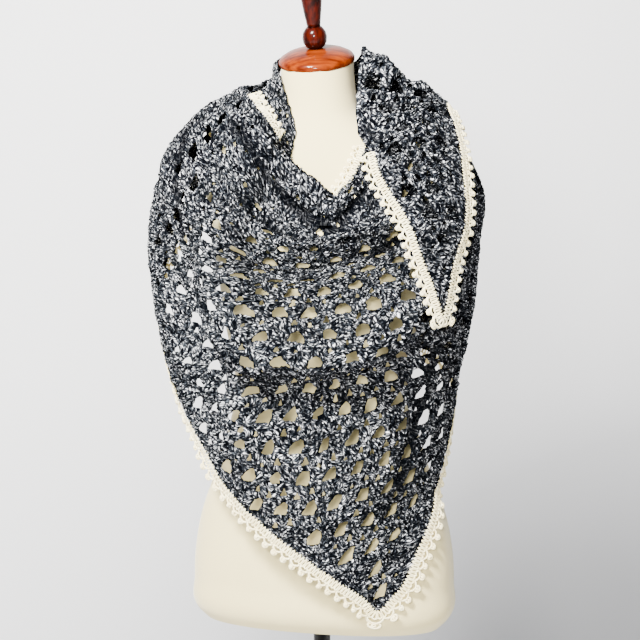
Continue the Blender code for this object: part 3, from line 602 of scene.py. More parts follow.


# the stretch's cloth: a grid cut along the zero line of the distances, its rims rolled over, with a mask of
# painted shade for its hollows and rims
def crochet(name, pattern, distances, reliefAt, seed):
    pitch = pattern.pitch
    du = np.gradient(distances, pitch, axis=1)
    dv = np.gradient(distances, pitch, axis=0)
    steep = np.maximum(du * du + dv * dv, 0.25)
    u, v = np.meshgrid(pattern.us, pattern.vs)
    cell = (distances[:-1, :-1] + distances[1:, :-1] + distances[:-1, 1:] + distances[1:, 1:]) / 4 > 0
    padded = np.pad(cell, 1)
    around = (padded[:-1, :-1].astype(int) + padded[1:, :-1] + padded[:-1, 1:] + padded[1:, 1:])
    border = (around > 0) & (around < 4)
    move = np.where(border, np.clip(distances, -pitch, pitch), 0)
    u = u - move * du / steep
    v = v - move * dv / steep
    number = np.full(distances.shape, -1)
    used = around > 0
    number[used] = np.arange(used.sum())
    quads = np.stack([number[:-1, :-1], number[1:, :-1], number[1:, 1:], number[:-1, 1:]], axis=-1)[cell]
    flatU, flatV, gap = u[used], v[used], np.where(border, 0, distances)[used]
    towards = np.stack([(du / np.sqrt(steep))[used], (dv / np.sqrt(steep))[used]], axis=1)

    place = pattern.placeOf(flatU, flatV)
    middle = pattern.surface(place, flatV)
    n = outward(pattern.surface, place, flatV)
    relief = reliefAt(flatU, flatV, seed)
    fall = np.clip(1 - gap / rimLook["reach"], 0, 1) ** 2
    height = clothThick / 2 + faceLift + relief * (1 - 0.5 * fall) - rimLook["fall"] * fall
    top = middle + n * height[:, None]

    edges = np.concatenate([quads[:, [0, 1]], quads[:, [1, 2]], quads[:, [2, 3]], quads[:, [3, 0]]])
    keys = edges.min(axis=1).astype(np.int64) * len(flatU) + edges.max(axis=1)
    _, first, counts = np.unique(keys, return_index=True, return_counts=True)
    rim = edges[first[counts == 1]]
    onRim = np.unique(rim)
    rimNumber = np.full(len(flatU), -1)
    rimNumber[onRim] = np.arange(len(onRim))
    rings = [top]
    for inward, drop in rimLook["rings"]:
        ringU = flatU[onRim] + towards[onRim, 0] * inward
        ringV = flatV[onRim] + towards[onRim, 1] * inward
        ringPlace = pattern.placeOf(ringU, ringV)
        rings.append(pattern.surface(ringPlace, ringV) + n[onRim] * (height[onRim] + drop)[:, None])
    faces = [quads]
    outerRing = rim
    for turn in range(len(rimLook["rings"])):
        innerRing = rimNumber[rim] + len(flatU) + turn * len(onRim)
        faces.append(np.concatenate([outerRing[:, ::-1], innerRing], axis=1))
        outerRing = innerRing
    vertices = np.concatenate(rings)
    uv = np.stack([flatU, flatV], axis=1)
    uv = np.concatenate([uv, uv[onRim] + [0.002, 0.001], uv[onRim] + [0.004, 0.002]])
    # painted shade: the yarn is darkened towards black where this mask is low, in the hollows between
    # stitches and in crease troughs, and more on the two rings of the rolled rims
    hollowShade = np.clip(0.5 + relief / reliefSpan, 0, 1)
    hollowShade = np.concatenate([hollowShade, hollowShade[onRim] * 0.5, hollowShade[onRim] * 0.2])
    piece = newPiece(name, vertices, np.concatenate(faces), "greyYarn", [("UVMap", uv), ("raised", hollowShade)])
    flatArea = float((distances > 0).sum()) * pitch * pitch
    print(name, len(piece.data.polygons) * 2, "triangles, flat area", round(flatArea, 3))
    return piece


# a closed line through some points, its own points a set distance apart
def closedLine(points, pitch):
    points = np.array(points + points[:1], float)
    lengths = lengthsAlong(points)
    places = np.linspace(0, lengths[-1], max(2, int(round(lengths[-1] / pitch)) + 1))
    return np.stack([np.interp(places, lengths, points[:, i]) for i in range(2)], axis=1)[:-1]


# a shader value, so that node maths can be written as plain sums
class Sock:
    def __init__(self, graph, socket):
        self.graph, self.socket = graph, socket

    def __add__(self, value):
        return self.graph.maths("ADD", self, value)

    def __sub__(self, value):
        return self.graph.maths("SUBTRACT", self, value)

    def __rsub__(self, value):
        return self.graph.maths("SUBTRACT", value, self)

    def __mul__(self, value):
        return self.graph.maths("MULTIPLY", self, value)

    def __truediv__(self, value):
        return self.graph.maths("DIVIDE", self, value)

    __radd__, __rmul__ = __add__, __mul__

    # 0 below low, 1 above high, smooth between
    def smooth(self, low, high):
        return self.graph.node("ShaderNodeMapRange", {"Value": self, "From Min": low, "From Max": high},
                               "Result", interpolation_type="SMOOTHSTEP")


# a material's node tree
class Graph:
    def __init__(self, name):
        self.material = bpy.data.materials.new(name)
        self.material.use_nodes = True
        self.tree = self.material.node_tree
        self.shader = self.tree.nodes["Principled BSDF"]

    def put(self, socket, value):
        if isinstance(value, Sock):
            self.tree.links.new(value.socket, socket)
        else:
            socket.default_value = value

    def node(self, kind, inputs, output, **settings):
        made = self.tree.nodes.new(kind)
        for key, value in settings.items():
            setattr(made, key, value)
        for key, value in inputs.items():
            self.put(made.inputs[key], value)
        return Sock(self, made.outputs[output])

    # the three parts of a colour or a vector
    def parts(self, kind, value):
        made = self.tree.nodes.new(kind)
        self.put(made.inputs[0], value)
        return [Sock(self, socket) for socket in made.outputs]

    def maths(self, kind, *values):
        made = self.tree.nodes.new("ShaderNodeMath")
        made.operation = kind
        for socket, value in zip(made.inputs, values):
            self.put(socket, value)
        return Sock(self, made.outputs[0])

    def vector(self, kind, a, b):
        made = self.tree.nodes.new("ShaderNodeVectorMath")
        made.operation = kind
        self.put(made.inputs[0], a)
        if kind == "SCALE":
            self.put(made.inputs["Scale"], b)
        else:
            self.put(made.inputs[1], b)
        return Sock(self, made.outputs[0])

    # colour a blended towards colour b
    def mix(self, share, a, b):
        made = self.tree.nodes.new("ShaderNodeMix")
        made.data_type = "RGBA"
        self.put(made.inputs[0], share)
        self.put(made.inputs[6], a)
        self.put(made.inputs[7], b)
        return Sock(self, made.outputs[2])

    def noise(self, vector, scale, detail=2.0, output="Fac"):
        inputs = {"Vector": vector, "Scale": scale, "Detail": detail}
        return self.node("ShaderNodeTexNoise", inputs, output)

    def place(self):
        return self.node("ShaderNodeTexCoord", {}, "Object")

    def set(self, **values):
        for key, value in values.items():
            self.put(self.shader.inputs[key.replace("_", " ")], value)

    def bump(self, height, strength, distance):
        inputs = {"Height": height, "Strength": strength, "Distance": distance}
        self.set(Normal=self.node("ShaderNodeBump", inputs, "Normal"))


# marled yarn: size of a stitch and of a strand in mm, and its plies from black over grey to white; the black
# is also the painted shade in hollows and gaps
yarnLook = {"cellScale": 0.100, "cellRandomness": 0.85, "strandWidth": 2.3, "toneLength": 5.2, "twist": 2.4,
            "deep": (0.0015, 0.002, 0.003, 1), "slate": (0.044, 0.050, 0.060, 1),
            "pale": (0.86, 0.88, 0.92, 1), "bumpDistance": 0.0022}


# side by side strands that turn with each stitch, black, grey and white by turns, with painted shade
# darkening the gaps between strands, the borders of the stitches and the hollows of the relief
def greyYarn():
    g = Graph("greyYarn")
    look = yarnLook
    mm = g.vector("SCALE", g.node("ShaderNodeUVMap", {}, "UV", uv_map="UVMap"), 1000.0)
    shift = g.vector("SUBTRACT", g.noise(mm, 0.11, 1.0, "Color"), (0.5, 0.5, 0.5))
    bent = g.vector("ADD", mm, g.vector("SCALE", shift, 8.0))
    cells = {"Vector": bent, "Scale": look["cellScale"], "Randomness": look["cellRandomness"]}
    own = g.node("ShaderNodeTexVoronoi", cells, "Color", voronoi_dimensions="2D")
    border = g.node("ShaderNodeTexVoronoi", cells, "Distance", voronoi_dimensions="2D",
                    feature="DISTANCE_TO_EDGE")
    red, green, _ = g.parts("ShaderNodeSeparateColor", own)
    turn = {"Vector": bent, "Angle": (red - 0.5) * 2.2 + 1.3}
    turned = g.node("ShaderNodeVectorRotate", turn, "Vector", rotation_type="Z_AXIS")
    across, along, _ = g.parts("ShaderNodeSeparateXYZ", turned)
    lane = across / look["strandWidth"]
    side = g.maths("FRACT", lane)
    ridge = g.maths("SINE", side * math.pi)
    strand = g.maths("FLOOR", lane)
    spot = {"X": strand * 7.31 + green * 40.0, "Y": (along + side * look["twist"]) / look["toneLength"]}
    tone = g.noise(g.node("ShaderNodeCombineXYZ", spot, "Vector"), 1.0, 1.0)
    raised = g.node("ShaderNodeAttribute", {}, "Fac", attribute_name="raised")
    mixed = g.mix(tone.smooth(0.42, 0.48), look["deep"], look["slate"])
    mixed = g.mix(tone.smooth(0.51, 0.67), mixed, look["pale"])
    # painted shade: the colour is pulled towards black in the hollows between stitches and crease troughs
    # (low raised), at the stitch borders and in the gaps between strands
    shade = raised.smooth(0.20, 0.62) * border.smooth(0.0, 0.07) * ridge.smooth(0.38, 0.98)
    g.set(Base_Color=g.mix(shade * 0.95 + 0.05, look["deep"], mixed), Roughness=0.8, Specular_IOR_Level=0.0)
    g.bump(border.smooth(0.0, 0.20) * ridge, 1.0, look["bumpDistance"])
    return g.material


# smooth plied cream yarn
def creamYarn():
    g = Graph("creamYarn")
    place = g.place()
    coarse, fibre = g.noise(place, 90.0, 1.0), g.noise(place, 1400.0, 2.0)
    tones = g.mix(coarse.smooth(0.35, 0.7), (0.92, 0.80, 0.45, 1), (0.99, 0.91, 0.57, 1))
    g.set(Base_Color=tones, Roughness=0.8, Sheen_Weight=0.2, Specular_IOR_Level=0.3, Subsurface_Weight=0.0)
    g.bump(fibre, 0.35, 0.0006)
    return g.material


# tight jersey of the form: fine ribs and a little unevenness
def coverCloth():
    g = Graph("coverCloth")
    place = g.place()
    soft = g.noise(place, 7.0, 2.0)
    knit = g.noise(g.vector("MULTIPLY", place, (1.0, 1.0, 0.45)), 900.0, 1.0)
    g.set(Base_Color=g.mix(soft, (0.62, 0.525, 0.255, 1), (0.68, 0.58, 0.295, 1)), Roughness=0.9)
    g.set(Sheen_Weight=0.3, Specular_IOR_Level=0.2)
    g.bump(knit, 0.25, 0.0005)
    return g.material


# turned hardwood under gloss varnish, its grain drawn out along one axis
def varnishedWood(name, dark, light, stretch):
    g = Graph(name)
    grain = g.noise(g.vector("MULTIPLY", g.place(), stretch), 150.0, 4.0)
    g.set(Base_Color=g.mix(grain.smooth(0.3, 0.7), dark, light), Roughness=0.35)
    g.set(Coat_Weight=0.20, Coat_Roughness=0.06, Specular_IOR_Level=0.03)
    return g.material


def blackSteel():
    g = Graph("blackSteel")
    mottle = g.noise(g.place(), 300.0, 2.0)
    g.set(Base_Color=(0.002, 0.002, 0.002, 1), Roughness=mottle * 0.10 + 0.32, Specular_IOR_Level=0.15)
    g.bump(mottle, 0.08, 0.0003)
    return g.material


# pale studio paper with painted shade, darker towards the foot of its right side; it glows of its own as
# painted light, dimmer where the shade is painted; it shows only from its front
def plainWall():
    g = Graph("plainWall")
    x, y, _ = g.parts("ShaderNodeSeparateXYZ", g.place())
    side = x.smooth(-1.0, 1.0)
    low = 1 - y.smooth(-3.2, -1.2)
    # painted shade: light falling off towards the right and towards the foot
    dark = side * 0.22 + low * 0.34 + side * low * low * 1.30
    g.set(Base_Color=g.mix(dark, (0.86, 0.86, 0.87, 1), (0.40, 0.405, 0.42, 1)), Roughness=0.95)
    # painted light: the wall glows, with the same painted shade
    g.set(Emission_Color=g.mix(dark, (0.95, 0.96, 0.97, 1), (0.38, 0.385, 0.40, 1)), Emission_Strength=0.55)
    g.set(Alpha=1 - g.node("ShaderNodeNewGeometry", {}, "Backfacing"))
    return g.material


# pale floor; painted light: it glows, more the farther from the stand
def plainFloor():
    g = Graph("plainFloor")
    x, y, _ = g.parts("ShaderNodeSeparateXYZ", g.place())
    far = g.maths("SQRT", x * x + y * y).smooth(1.6, 6.5)
    g.set(Base_Color=(0.62, 0.62, 0.64, 1), Roughness=0.9)
    # painted light: emission from 1.6 m out, full from 6.5 m
    g.set(Emission_Color=g.mix(far, (0, 0, 0, 1), (0.74, 0.74, 0.76, 1)), Emission_Strength=0.6)
    return g.material


print("materials")
materials = {
    "greyYarn": greyYarn(),
    "creamYarn": creamYarn(),
    "coverCloth": coverCloth(),
    "capWood": varnishedWood("capWood", (0.048, 0.0042, 0.0005, 1), (0.165, 0.0255, 0.0015, 1),
                             (0.12, 1.0, 1.0)),
    "finialWood": varnishedWood("finialWood", (0.006, 0.0006, 0.0003, 1), (0.042, 0.0032, 0.0008, 1),
                                (1.0, 1.0, 0.15)),
    "blackSteel": blackSteel(),
    "plainWall": plainWall(),
    "plainFloor": plainFloor(),
}


# cape
print("cape")


# creases of the front: each its spread, then rows of width from the front centre, v and height
creaseRows = {
    "under the collar roll": (0.008, [(-0.170, 0.052, 0), (-0.110, 0.074, -0.0032), (-0.040, 0.086, -0.0040),
                                      (0.040, 0.080, -0.0036), (0.090, 0.084, 0)]),
    "collar, thin ridge": (0.007, [(-0.160, 0.088, 0), (-0.100, 0.100, 0.0036), (-0.030, 0.126, 0.0044),
                                   (0.040, 0.134, 0.0036), (0.110, 0.150, 0)]),
    "collar, second trough": (0.007, [(-0.150, 0.128, 0), (-0.070, 0.146, -0.0040), (0.010, 0.152, -0.0044),
                                      (0.080, 0.166, -0.0030), (0.130, 0.180, 0)]),
    "left of the swag": (0.008, [(-0.150, 0.190, 0), (-0.120, 0.212, 0.0034), (-0.060, 0.226, 0.0036),
                                 (0.010, 0.216, 0)]),
    "shoulder, outer": (0.009, [(-0.262, 0.060, 0), (-0.250, 0.130, -0.0030), (-0.222, 0.220, -0.0036),
                                (-0.190, 0.320, 0)]),
    "shoulder, inner": (0.008, [(-0.215, 0.040, 0), (-0.205, 0.110, 0.0030), (-0.186, 0.190, 0.0036),
                                (-0.160, 0.270, 0)]),
    "right of the collar": (0.008, [(0.160, 0.060, 0), (0.120, 0.110, 0.0036), (0.070, 0.160, 0.0036),
                                    (0.030, 0.186, 0)]),
    "right, under the end": (0.009, [(0.210, 0.110, 0), (0.160, 0.180, -0.0034), (0.100, 0.236, -0.0036),
                                     (0.050, 0.262, 0)]),
    "lower, left": (0.012, [(-0.170, 0.470, 0), (-0.110, 0.520, 0.0034), (-0.030, 0.580, 0.0036),
                            (0.040, 0.640, 0)]),
    "lower, right": (0.012, [(0.170, 0.430, 0), (0.150, 0.510, -0.0034), (0.120, 0.600, -0.0036),
                             (0.100, 0.690, 0)]),
}


# how far the narrow creases push the front in or out
def creaseHeight(u, v):
    total = 0.0
    for spread, rows in creaseRows.values():
        line = np.array(rows, float)
        best = np.full(np.shape(u), 1.0)
        height = np.zeros(np.shape(u))
        for start, end in zip(line, line[1:]):
            away, t = runAway(u, v, start, end)
            height = np.where(away < best, start[2] + (end[2] - start[2]) * t, height)
            best = np.minimum(away, best)
        total = total + height * np.exp(-(best / spread) ** 2)
    return total


# the creases go into the relief, which also sets the painted shade, so their troughs are painted darker
def frontRelief(u, v, seed):
    return capeRelief(u, v, seed) + creaseHeight(u, v)


def capeRelief(u, v, seed):
    upper = stitchRelief(u, v, upperLace, seed)
    middle = stitchRelief(u, v, middleLace, seed + 1)
    lower = stitchRelief(u, v, lowerLace, seed + 2)
    change = np.clip((v - 0.425) / 0.006, 0, 1)
    second = np.clip((v - 0.491) / 0.006, 0, 1)
    return (upper * (1 - change) + middle * change) * (1 - second) + lower * second


# whether places lie on a stretch between its two edges
def between(topRows, hemRows, first, last):
    def test(place, v):
        degrees = np.degrees(place / roundWidth)
        return ((v > edgeAt(degrees, topRows)) & (v < edgeAt(degrees, hemRows)) & (degrees > first)
                & (degrees < last))
    return test


# the stretch's outline on its flat pattern
def capeOutline(pattern, topRows, hemRows, first, last):
    degrees = np.linspace(first, last, 400)
    loop = []
    for rows, order in ((topRows, degrees), (hemRows, degrees[::-1])):
        for angle, v in zip(order, edgeAt(order, rows)):
            loop.append((pattern.widthOf(math.radians(angle) * roundWidth, v), v))
    return closedLine(loop, 0.005)


def smoothCape(x, v):
    return ring(x / roundWidth, v)


# cuts the laces out of a pattern and works its cloth
def worked(name, flat, outline, inside, laces, seed, relief, sizeAt=openness, surface=None):
    distances = edgeDistances(flat, outline, inside)
    for number, lace in enumerate(laces):
        cutLace(flat, distances, lace, seed + number, sizeAt)
    flat.surface = surface or flat.surface
    return crochet(name, flat, distances, relief, seed)


# the cape's stretches: surface, edges, first and last angle, deepest v, grid pitch, laces, relief
capeLaces = (upperLace, middleLace, lowerLace)
capeSeed = 3
stretches = {
    "ShawlFront": (frontCloth, frontTopRows, frontHemRows, -frontTurn, frontTurn, 0.816, 0.0022, capeLaces,
                   frontRelief),
    "ShawlBackOuter": (outerBackCloth, outerTopRows, outerHemRows, outerTurn, -frontTurn, 0.390, 0.0027,
                       capeLaces[:1], capeRelief),
    "ShawlBackInner": (innerBackCloth, innerTopRows, innerHemRows, frontTurn, innerTurn, 0.525, 0.0030,
                       capeLaces, capeRelief),
}


def capeStretch(name, surface, top, hem, first, last, deepest, pitch, laces, relief):
    places = np.radians(np.linspace(first - 3, last + 3, int((last - first) * 2))) * roundWidth
    flat = Pattern(smoothCape, places, (-0.026, deepest), 0.0, pitch)
    outline = capeOutline(flat, top, hem, first, last)
    return worked(name, flat, outline, between(top, hem, first, last), laces, capeSeed, relief,
                  surface=surface)


front, outer, inner = [capeStretch(name, *facts) for name, facts in stretches.items()]


# hanging end: grid pitch, room for its edging, rounding of the corner by the neck
print("hanging end")
endLook = {"pitch": 0.0021, "trim": 0.0155, "corner": 0.016, "seed": 21, "open": (1.08, 1.12, 0.97)}


def endStretch():
    places = np.linspace(-0.01, endWidth + 0.01, 60)
    flat = Pattern(endCloth, places, (-0.002, endLength + 0.002), endWidth / 2, endLook["pitch"])
    trim, reach = endLook["trim"], endLook["corner"]
    lefts, rights = [], []
    for y in np.linspace(0, endLength, 120):
        bare = 1 - min(max((y / endLength - bareShare) / bareRamp, 0), 1)
        corner = reach * (1 - math.sqrt(1 - max(0, 1 - y / reach) ** 2))
        low = flat.widthOf(0, y) + trim * (1 - bare) + corner
        high = flat.widthOf(endWidth, y) - trim
        if high - low < 0.003:
            break
        lefts.append((low, y))
        rights.append((high, y))

    def inside(place, y):
        us = np.broadcast_to(flat.us, place.shape)
        low, high = [np.interp(y, [p[1] for p in side], [p[0] for p in side]) for side in (lefts, rights)]
        return (us > low) & (us < high) & (y > 0) & (y < lefts[-1][1])
    outline = closedLine(lefts + rights[::-1], 0.004)
    piece = worked("ShawlEnd", flat, outline, inside, [endLace], endLook["seed"], reliefOf(endLace),
                   lambda degrees, v: endLook["open"])
    return piece, lefts, rights, flat


end, endLeft, endRight, endFlat = endStretch()


# tucked end
tuckLook = {"pitch": 0.0024, "seed": 31, "open": (0.8, 0.8, 0.8)}


def tuckStretch():
    across = np.radians(np.array([tuckRows[0][0], tuckRows[-1][0]], float)) * tuckReach
    places = np.linspace(across[0] - 0.005, across[1] + 0.005, 60)
    flat = Pattern(tuckCloth, places, (-0.002, tuckDrop + 0.002), across.mean(), tuckLook["pitch"])
    loop = [(flat.widthOf(across[0], 0), 0), (flat.widthOf(across[1], 0), 0),
            (flat.widthOf(across[1], tuckDrop), tuckDrop), (flat.widthOf(across[0], tuckDrop), tuckDrop)]

    def inside(place, y):
        return (place > across[0]) & (place < across[1]) & (y > 0) & (y < tuckDrop)
    return worked("ShawlTuckedEnd", flat, closedLine(loop, 0.004), inside, [tuckLace], tuckLook["seed"],
                  reliefOf(tuckLace), lambda degrees, v: tuckLook["open"])


tuck = tuckStretch()


# picot edging
print("edging")


# centre line of a strand through a few points
def strand(points, closed, count):
    points = np.array(points, float)
    k = len(points)
    t = np.linspace(0, k if closed else k - 1, count, endpoint=not closed)
    i = np.minimum(t.astype(int), k - 1 if closed else k - 2)
    f = (t - i)[:, None]

    def at(n):
        return points[n % k] if closed else points[np.clip(n, 0, k - 1)]
    a, b, c, d = at(i - 1), at(i), at(i + 1), at(i + 2)
    return 0.5 * (2 * b + (c - a) * f + (2 * a - 5 * b + 4 * c - d) * f ** 2
                  + (3 * b - a - 3 * c + d) * f ** 3)


# strands of one repeat in mm: place along the edge, out from it and height off the cloth; then the
# points on the strand, its reach and whether it's closed
mm = 0.001
picotPitch = 0.0150
picotStrands = []
for middle in (2.5, 7.5, 12.5):
    loop = [(-1.5, 6.5, 2.2), (-1.8, 1.5, 3.6), (0, -4.2, 3.8), (1.8, 1.5, 3.6), (1.5, 6.5, 2.2)]
    bar = [(-2.7, 5.2, 1.2), (0, 7.6, 3.2), (2.7, 5.4, 1.2)]
    for shape, count, reach in ((loop, 9, 1.05), (bar, 5, 1.15)):
        picotStrands.append(([(middle + s, o, h) for s, o, h in shape], count, reach, False))
picotStrands += [
    ([(-0.3, 7.2, 1.2), (2.4, 11.0, 2.6), (7.5, 13.4, 2.8), (12.6, 11.0, 2.6), (15.3, 7.2, 1.2)],
     10, 1.35, False),
    ([(0.2, 9.0, 0.0), (3.4, 13.0, 0.8), (7.5, 15.0, 1.0), (11.6, 13.0, 0.8), (14.8, 9.0, 0.0)],
     9, 1.20, False),
    ([(5.2, 14.0, 1.4), (4.4, 16.6, 2.2), (6.0, 19.0, 2.4), (9.0, 19.0, 2.4), (10.6, 16.6, 2.2),
      (9.8, 14.0, 1.4)],
     12, 1.50, True),
    ([(7.5, 14.6, 3.4), (6.4, 16.6, 3.8), (7.5, 18.2, 3.4), (8.6, 16.6, 3.8)],
     7, 1.20, True),
]


# picots repeated along an edge, bent with it
def picotEdging(name, edge, outwards, normals, scale=1.0, sides=5):
    lengths = lengthsAlong(edge)
    repeats = max(1, int(round(lengths[-1] / (picotPitch * scale))))
    pitch = lengths[-1] / repeats
    along = unit(np.gradient(edge, axis=0))
    starts = np.arange(repeats) * pitch
    vertices, faces, total = [], [], 0
    for number, (shape, count, reach, closed) in enumerate(picotStrands):
        line = strand(shape, closed, count) * mm * scale
        wobble = np.array([[chance(i, number, seed) - 0.5 for seed in (5, 6, 7)] for i in range(repeats)])
        wobble = wobble * 0.0011
        s = starts[:, None] + line[None, :, 0] * (pitch / (picotPitch * scale)) + wobble[:, :1]
        o = line[None, :, 1] * (1 + wobble[:, 1:2] * 90) + np.zeros_like(s)
        h = line[None, :, 2] + wobble[:, 2:3] + np.zeros_like(s)

        def read3(values):
            return np.stack([np.interp(s, lengths, values[:, k]) for k in range(3)], axis=-1)
        beyond = (np.maximum(s - lengths[-1], 0) + np.minimum(s, 0))[..., None] * read3(along)
        points = read3(edge) + beyond + read3(outwards) * o[..., None] + read3(normals) * h[..., None]
        if closed:
            run = np.roll(points, -1, axis=1) - np.roll(points, 1, axis=1)
        else:
            run = np.gradient(points, axis=1)
        run = unit(run)
        side = unit(np.cross(run, read3(normals)))
        top = np.cross(side, run)
        turns = np.linspace(0, 2 * np.pi, sides, endpoint=False)
        radius = reach * mm * scale
        rings = (points[:, :, None] + side[:, :, None] * (np.cos(turns) * radius)[None, None, :, None]
                 + top[:, :, None] * (np.sin(turns) * radius)[None, None, :, None])
        k = line.shape[0]
        spans = k if closed else k - 1
        i, j, m = np.meshgrid(np.arange(repeats), np.arange(spans), np.arange(sides), indexing="ij")

        def index(j, m):
            return total + (i * k + j % k) * sides + m % sides
        quads = np.stack([index(j, m), index(j + 1, m), index(j + 1, m + 1), index(j, m + 1)], axis=-1)
        vertices.append(rings.reshape(-1, 3))
        faces.append(quads.reshape(-1, 4))
        total += repeats * k * sides
    piece = newPiece(name, np.concatenate(vertices), np.concatenate(faces), "creamYarn")
    print(name, len(piece.data.polygons) * 2, "triangles")
    return piece


# points, outward directions and normals along an edge given on a flat pattern
def edgeFrames(surface, path, side, evened=0):
    x, y = np.array(path, float).T
    lengths = lengthsAlong(surface(x, y))
    places = np.linspace(0, lengths[-1], int(lengths[-1] / 0.003) + 2)
    x, y = np.interp(places, lengths, x), np.interp(places, lengths, y)
    edge = surface(x, y)
    n = outward(surface, x, y)
    for _ in range(3):
        n[1:-1] = (n[:-2] + n[1:-1] + n[2:]) / 3
    n = unit(n)
    out = np.cross(unit(np.gradient(edge, axis=0)), n) * side
    for _ in range(evened):
        out[1:-1] = (out[:-2] + out[1:-1] + out[2:]) / 3
    return edge, unit(out), n


def capeEdge(rows, first, last):
    degrees = np.linspace(first, last, 500)
    return np.stack([np.radians(degrees) * roundWidth, edgeAt(degrees, rows)], axis=1)


# edgings of the cape: surface, edge, first and last angle, side of the edge, scale
capeEdgings = {
    "FrontHemEdging": (frontCloth, frontHemRows, -100, 100, 1, 1.0),
    "BackOuterHemEdging": (outerBackCloth, outerHemRows, -265, -100, 1, 1.0),
    "BackInnerHemEdging": (innerBackCloth, innerHemRows, 100, 232, 1, 1.0),
    "NeckEdgingLeft": (frontCloth, frontTopRows, -64, -30, -1, 0.75),
    "NeckEdgingRight": (frontCloth, frontTopRows, 16, 40, -1, 0.75),
}
frontHem, outerHem, innerHem, neckLeft, neckRight = [
    picotEdging(name, *edgeFrames(surface, capeEdge(rows, first, last), side), scale)
    for name, (surface, rows, first, last, side, scale) in capeEdgings.items()
]


def endEdge(points):
    return [(float(endFlat.placeOf(np.array(u), np.array(y))), y) for u, y in points]


trimmed = [place for place in endLeft if place[1] > (bareShare + bareRamp) * endLength]
tip = [((trimmed[-1][0] + endRight[-1][0]) / 2, trimmed[-1][1] + 0.003)]
endPath = endEdge(trimmed + tip + endRight[::-1])
endTrims = picotEdging("EndEdging", *edgeFrames(endCloth, endPath, 1, 8), 0.86)


# dress form: the solid's own surface, finer
print("form and stand")


def dressForm(sides=144, rows=110):
    angles = np.linspace(0, 2 * np.pi, sides, endpoint=False)
    low, high = formRows[0][0], formRows[-1][0]
    heights = low + (high - low) * np.linspace(0, 1, rows) ** 1.15
    rings = []
    for height in heights:
        reach = formReach(angles, height)
        rings.append(np.stack([neckLean(height) + reach * np.sin(angles), -reach * np.cos(angles),
                               np.full(sides, standHeight + height)], axis=1))
    top = rings[-1].copy()
    top[:, 2] = standHeight + neckTop + top[:, 1] * math.tan(neckPitch)
    top[:, 2] += (top[:, 0] - neckShift) * math.tan(neckRoll)
    rings.append(top)
    i, j = np.meshgrid(np.arange(len(rings) - 1), np.arange(sides), indexing="ij")
    a, b = i * sides + j, i * sides + (j + 1) % sides
    faces = np.stack([a, b, b + sides, a + sides], axis=-1).reshape(-1, 4).tolist()
    faces.append(list(range(sides))[::-1])
    faces.append([(len(rings) - 1) * sides + j for j in range(sides)])
    return newPiece("DressForm", np.concatenate(rings).tolist(), faces, "coverCloth", sharpFrom=35)


# a merged, smoothly shaded copy of a turned solid
def evenCopy(name, node, finish):
    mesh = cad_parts[node].data.copy()
    mesh.name = name
    bm = bmesh.new()
    bm.from_mesh(mesh)
    bmesh.ops.remove_doubles(bm, verts=bm.verts, dist=2e-6)
    bm.to_mesh(mesh)
    bm.free()
    return placed(name, mesh, finish, sharpFrom=35)


form = dressForm()
turnedPieces = [
    ("NeckCap", "neck_cap", "capWood", "cap_wood"),
    ("FinialBall", "finial_ball", "finialWood", "finial_wood"),
    ("FinialPost", "finial_post", "finialWood", "finial_wood"),
    ("PoleCollar", "pole_collar", "blackSteel", "black_steel"),
    ("Pole", "pole", "blackSteel", "black_steel"),
    ("BaseHub", "base_hub", "blackSteel", "black_steel"),
    ("BasePlate", "base_plate", "blackSteel", "black_steel"),
]

# what each piece stands for
stands = [
    (front, "grey_yarn", ["shawl_front"]),
    (outer, "grey_yarn", ["shawl_back_outer"]),
    (inner, "grey_yarn", ["shawl_back_inner"]),
    (end, "grey_yarn", ["shawl_end"]),
    (tuck, "grey_yarn", ["shawl_tucked_end"]),
    (frontHem, "cream_yarn", ["front_hem_edging"]),
    (outerHem, "cream_yarn", ["shawl_back_outer_hem_edging"]),
    (innerHem, "cream_yarn", ["shawl_back_inner_hem_edging"]),
    (neckLeft, "cream_yarn", ["neck_edging_left"]),
    (neckRight, "cream_yarn", ["neck_edging_right"]),
    (endTrims, "cream_yarn", ["end_edging_left", "end_edging_right"]),
    (form, "cover_cloth", ["dress_form_body"]),
]
stands += [(evenCopy(name, node, finish), slot, [node]) for name, node, finish, slot in turnedPieces]
for piece, slot, nodes in stands:
    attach(piece, "root")
    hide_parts(*nodes)


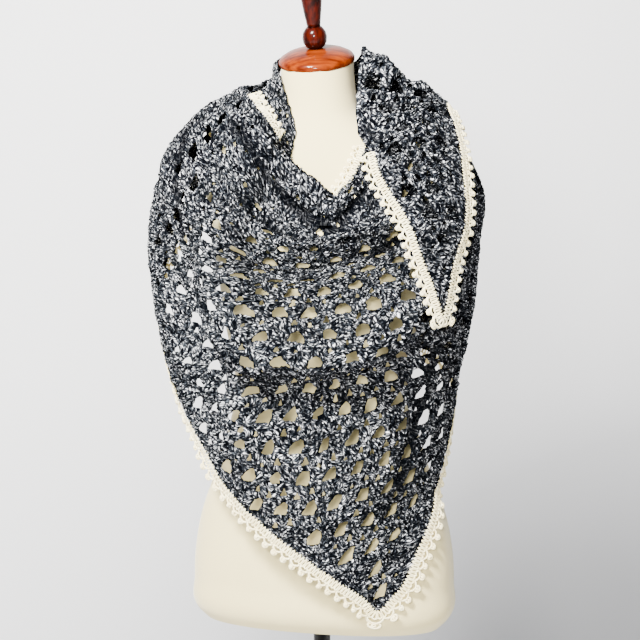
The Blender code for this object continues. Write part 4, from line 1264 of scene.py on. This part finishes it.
# width and length of a stretch's cut, laid flat
def flatSize(piece):
    uv = np.empty(len(piece.data.loops) * 2)
    piece.data.uv_layers["UVMap"].data.foreach_get("uv", uv)
    uv = uv.reshape(-1, 2)
    return tuple(np.round(uv.max(axis=0) - uv.min(axis=0), 3).tolist())


# each sheet, what it rests on, its trims and its area as a share of its width times its length; only the
# width and length of each cut are printed
sheets = [
    (front, ["DressForm"], [frontHem, neckLeft, neckRight], 0.62),
    (outer, ["ShawlBackInner", "DressForm"], [outerHem], 0.5),
    (inner, ["DressForm"], [innerHem], 0.6),
    (end, ["ShawlFront"], [endTrims], 0.66),
    (tuck, ["DressForm"], [], 0.8),
]
for piece, under, trims, share in sheets:
    width, length = flatSize(piece)
    print(piece.name, "cut", width, length)
    share * width * length

# stage
print("stage")
for name, size, place, tilt in (("Floor", 400, (0, 0, 0), 0), ("Wall", 12, (0, 1.3, 3.0), 90)):
    bpy.ops.mesh.primitive_plane_add(size=size, location=place, rotation=(math.radians(tilt), 0, 0))
    plane = bpy.context.object
    plane.name = name
    plane.data.materials.append(materials["plain" + name])

# camera and light
camera = bpy.data.objects.new("Camera", bpy.data.cameras.new("Camera"))
bpy.context.scene.collection.objects.link(camera)
camera.location = (-0.0028, -2.40, 1.18)
camera.rotation_euler = (math.radians(90 - 5.9), 0, 0)
camera.data.lens = 98.3
camera.data.sensor_width = 36
bpy.context.scene.camera = camera


def softLight(name, place, target, size, power, colour=(1, 1, 1)):
    data = bpy.data.lights.new(name, "AREA")
    data.shape = "RECTANGLE"
    data.size, data.size_y = size
    data.energy = power
    data.color = colour
    lamp = bpy.data.objects.new(name, data)
    bpy.context.scene.collection.objects.link(lamp)
    lamp.location = place
    lamp.rotation_euler = (Vector(target) - Vector(place)).to_track_quat("-Z", "Y").to_euler()


softLight("Key", (-0.75, -1.45, 2.30), (0, 0, 1.10), (0.40, 0.40), 310, (1.0, 0.985, 0.95))
softLight("Front", (-0.3, -2.5, 1.45), (0, 0, 1.05), (0.4, 0.4), 110, (1.0, 0.98, 0.94))
world = bpy.data.worlds.new("World")
world.use_nodes = True
world.node_tree.nodes["Background"].inputs["Color"].default_value = (0.93, 0.96, 1.0, 1)
world.node_tree.nodes["Background"].inputs["Strength"].default_value = 0.12
bpy.context.scene.world = world
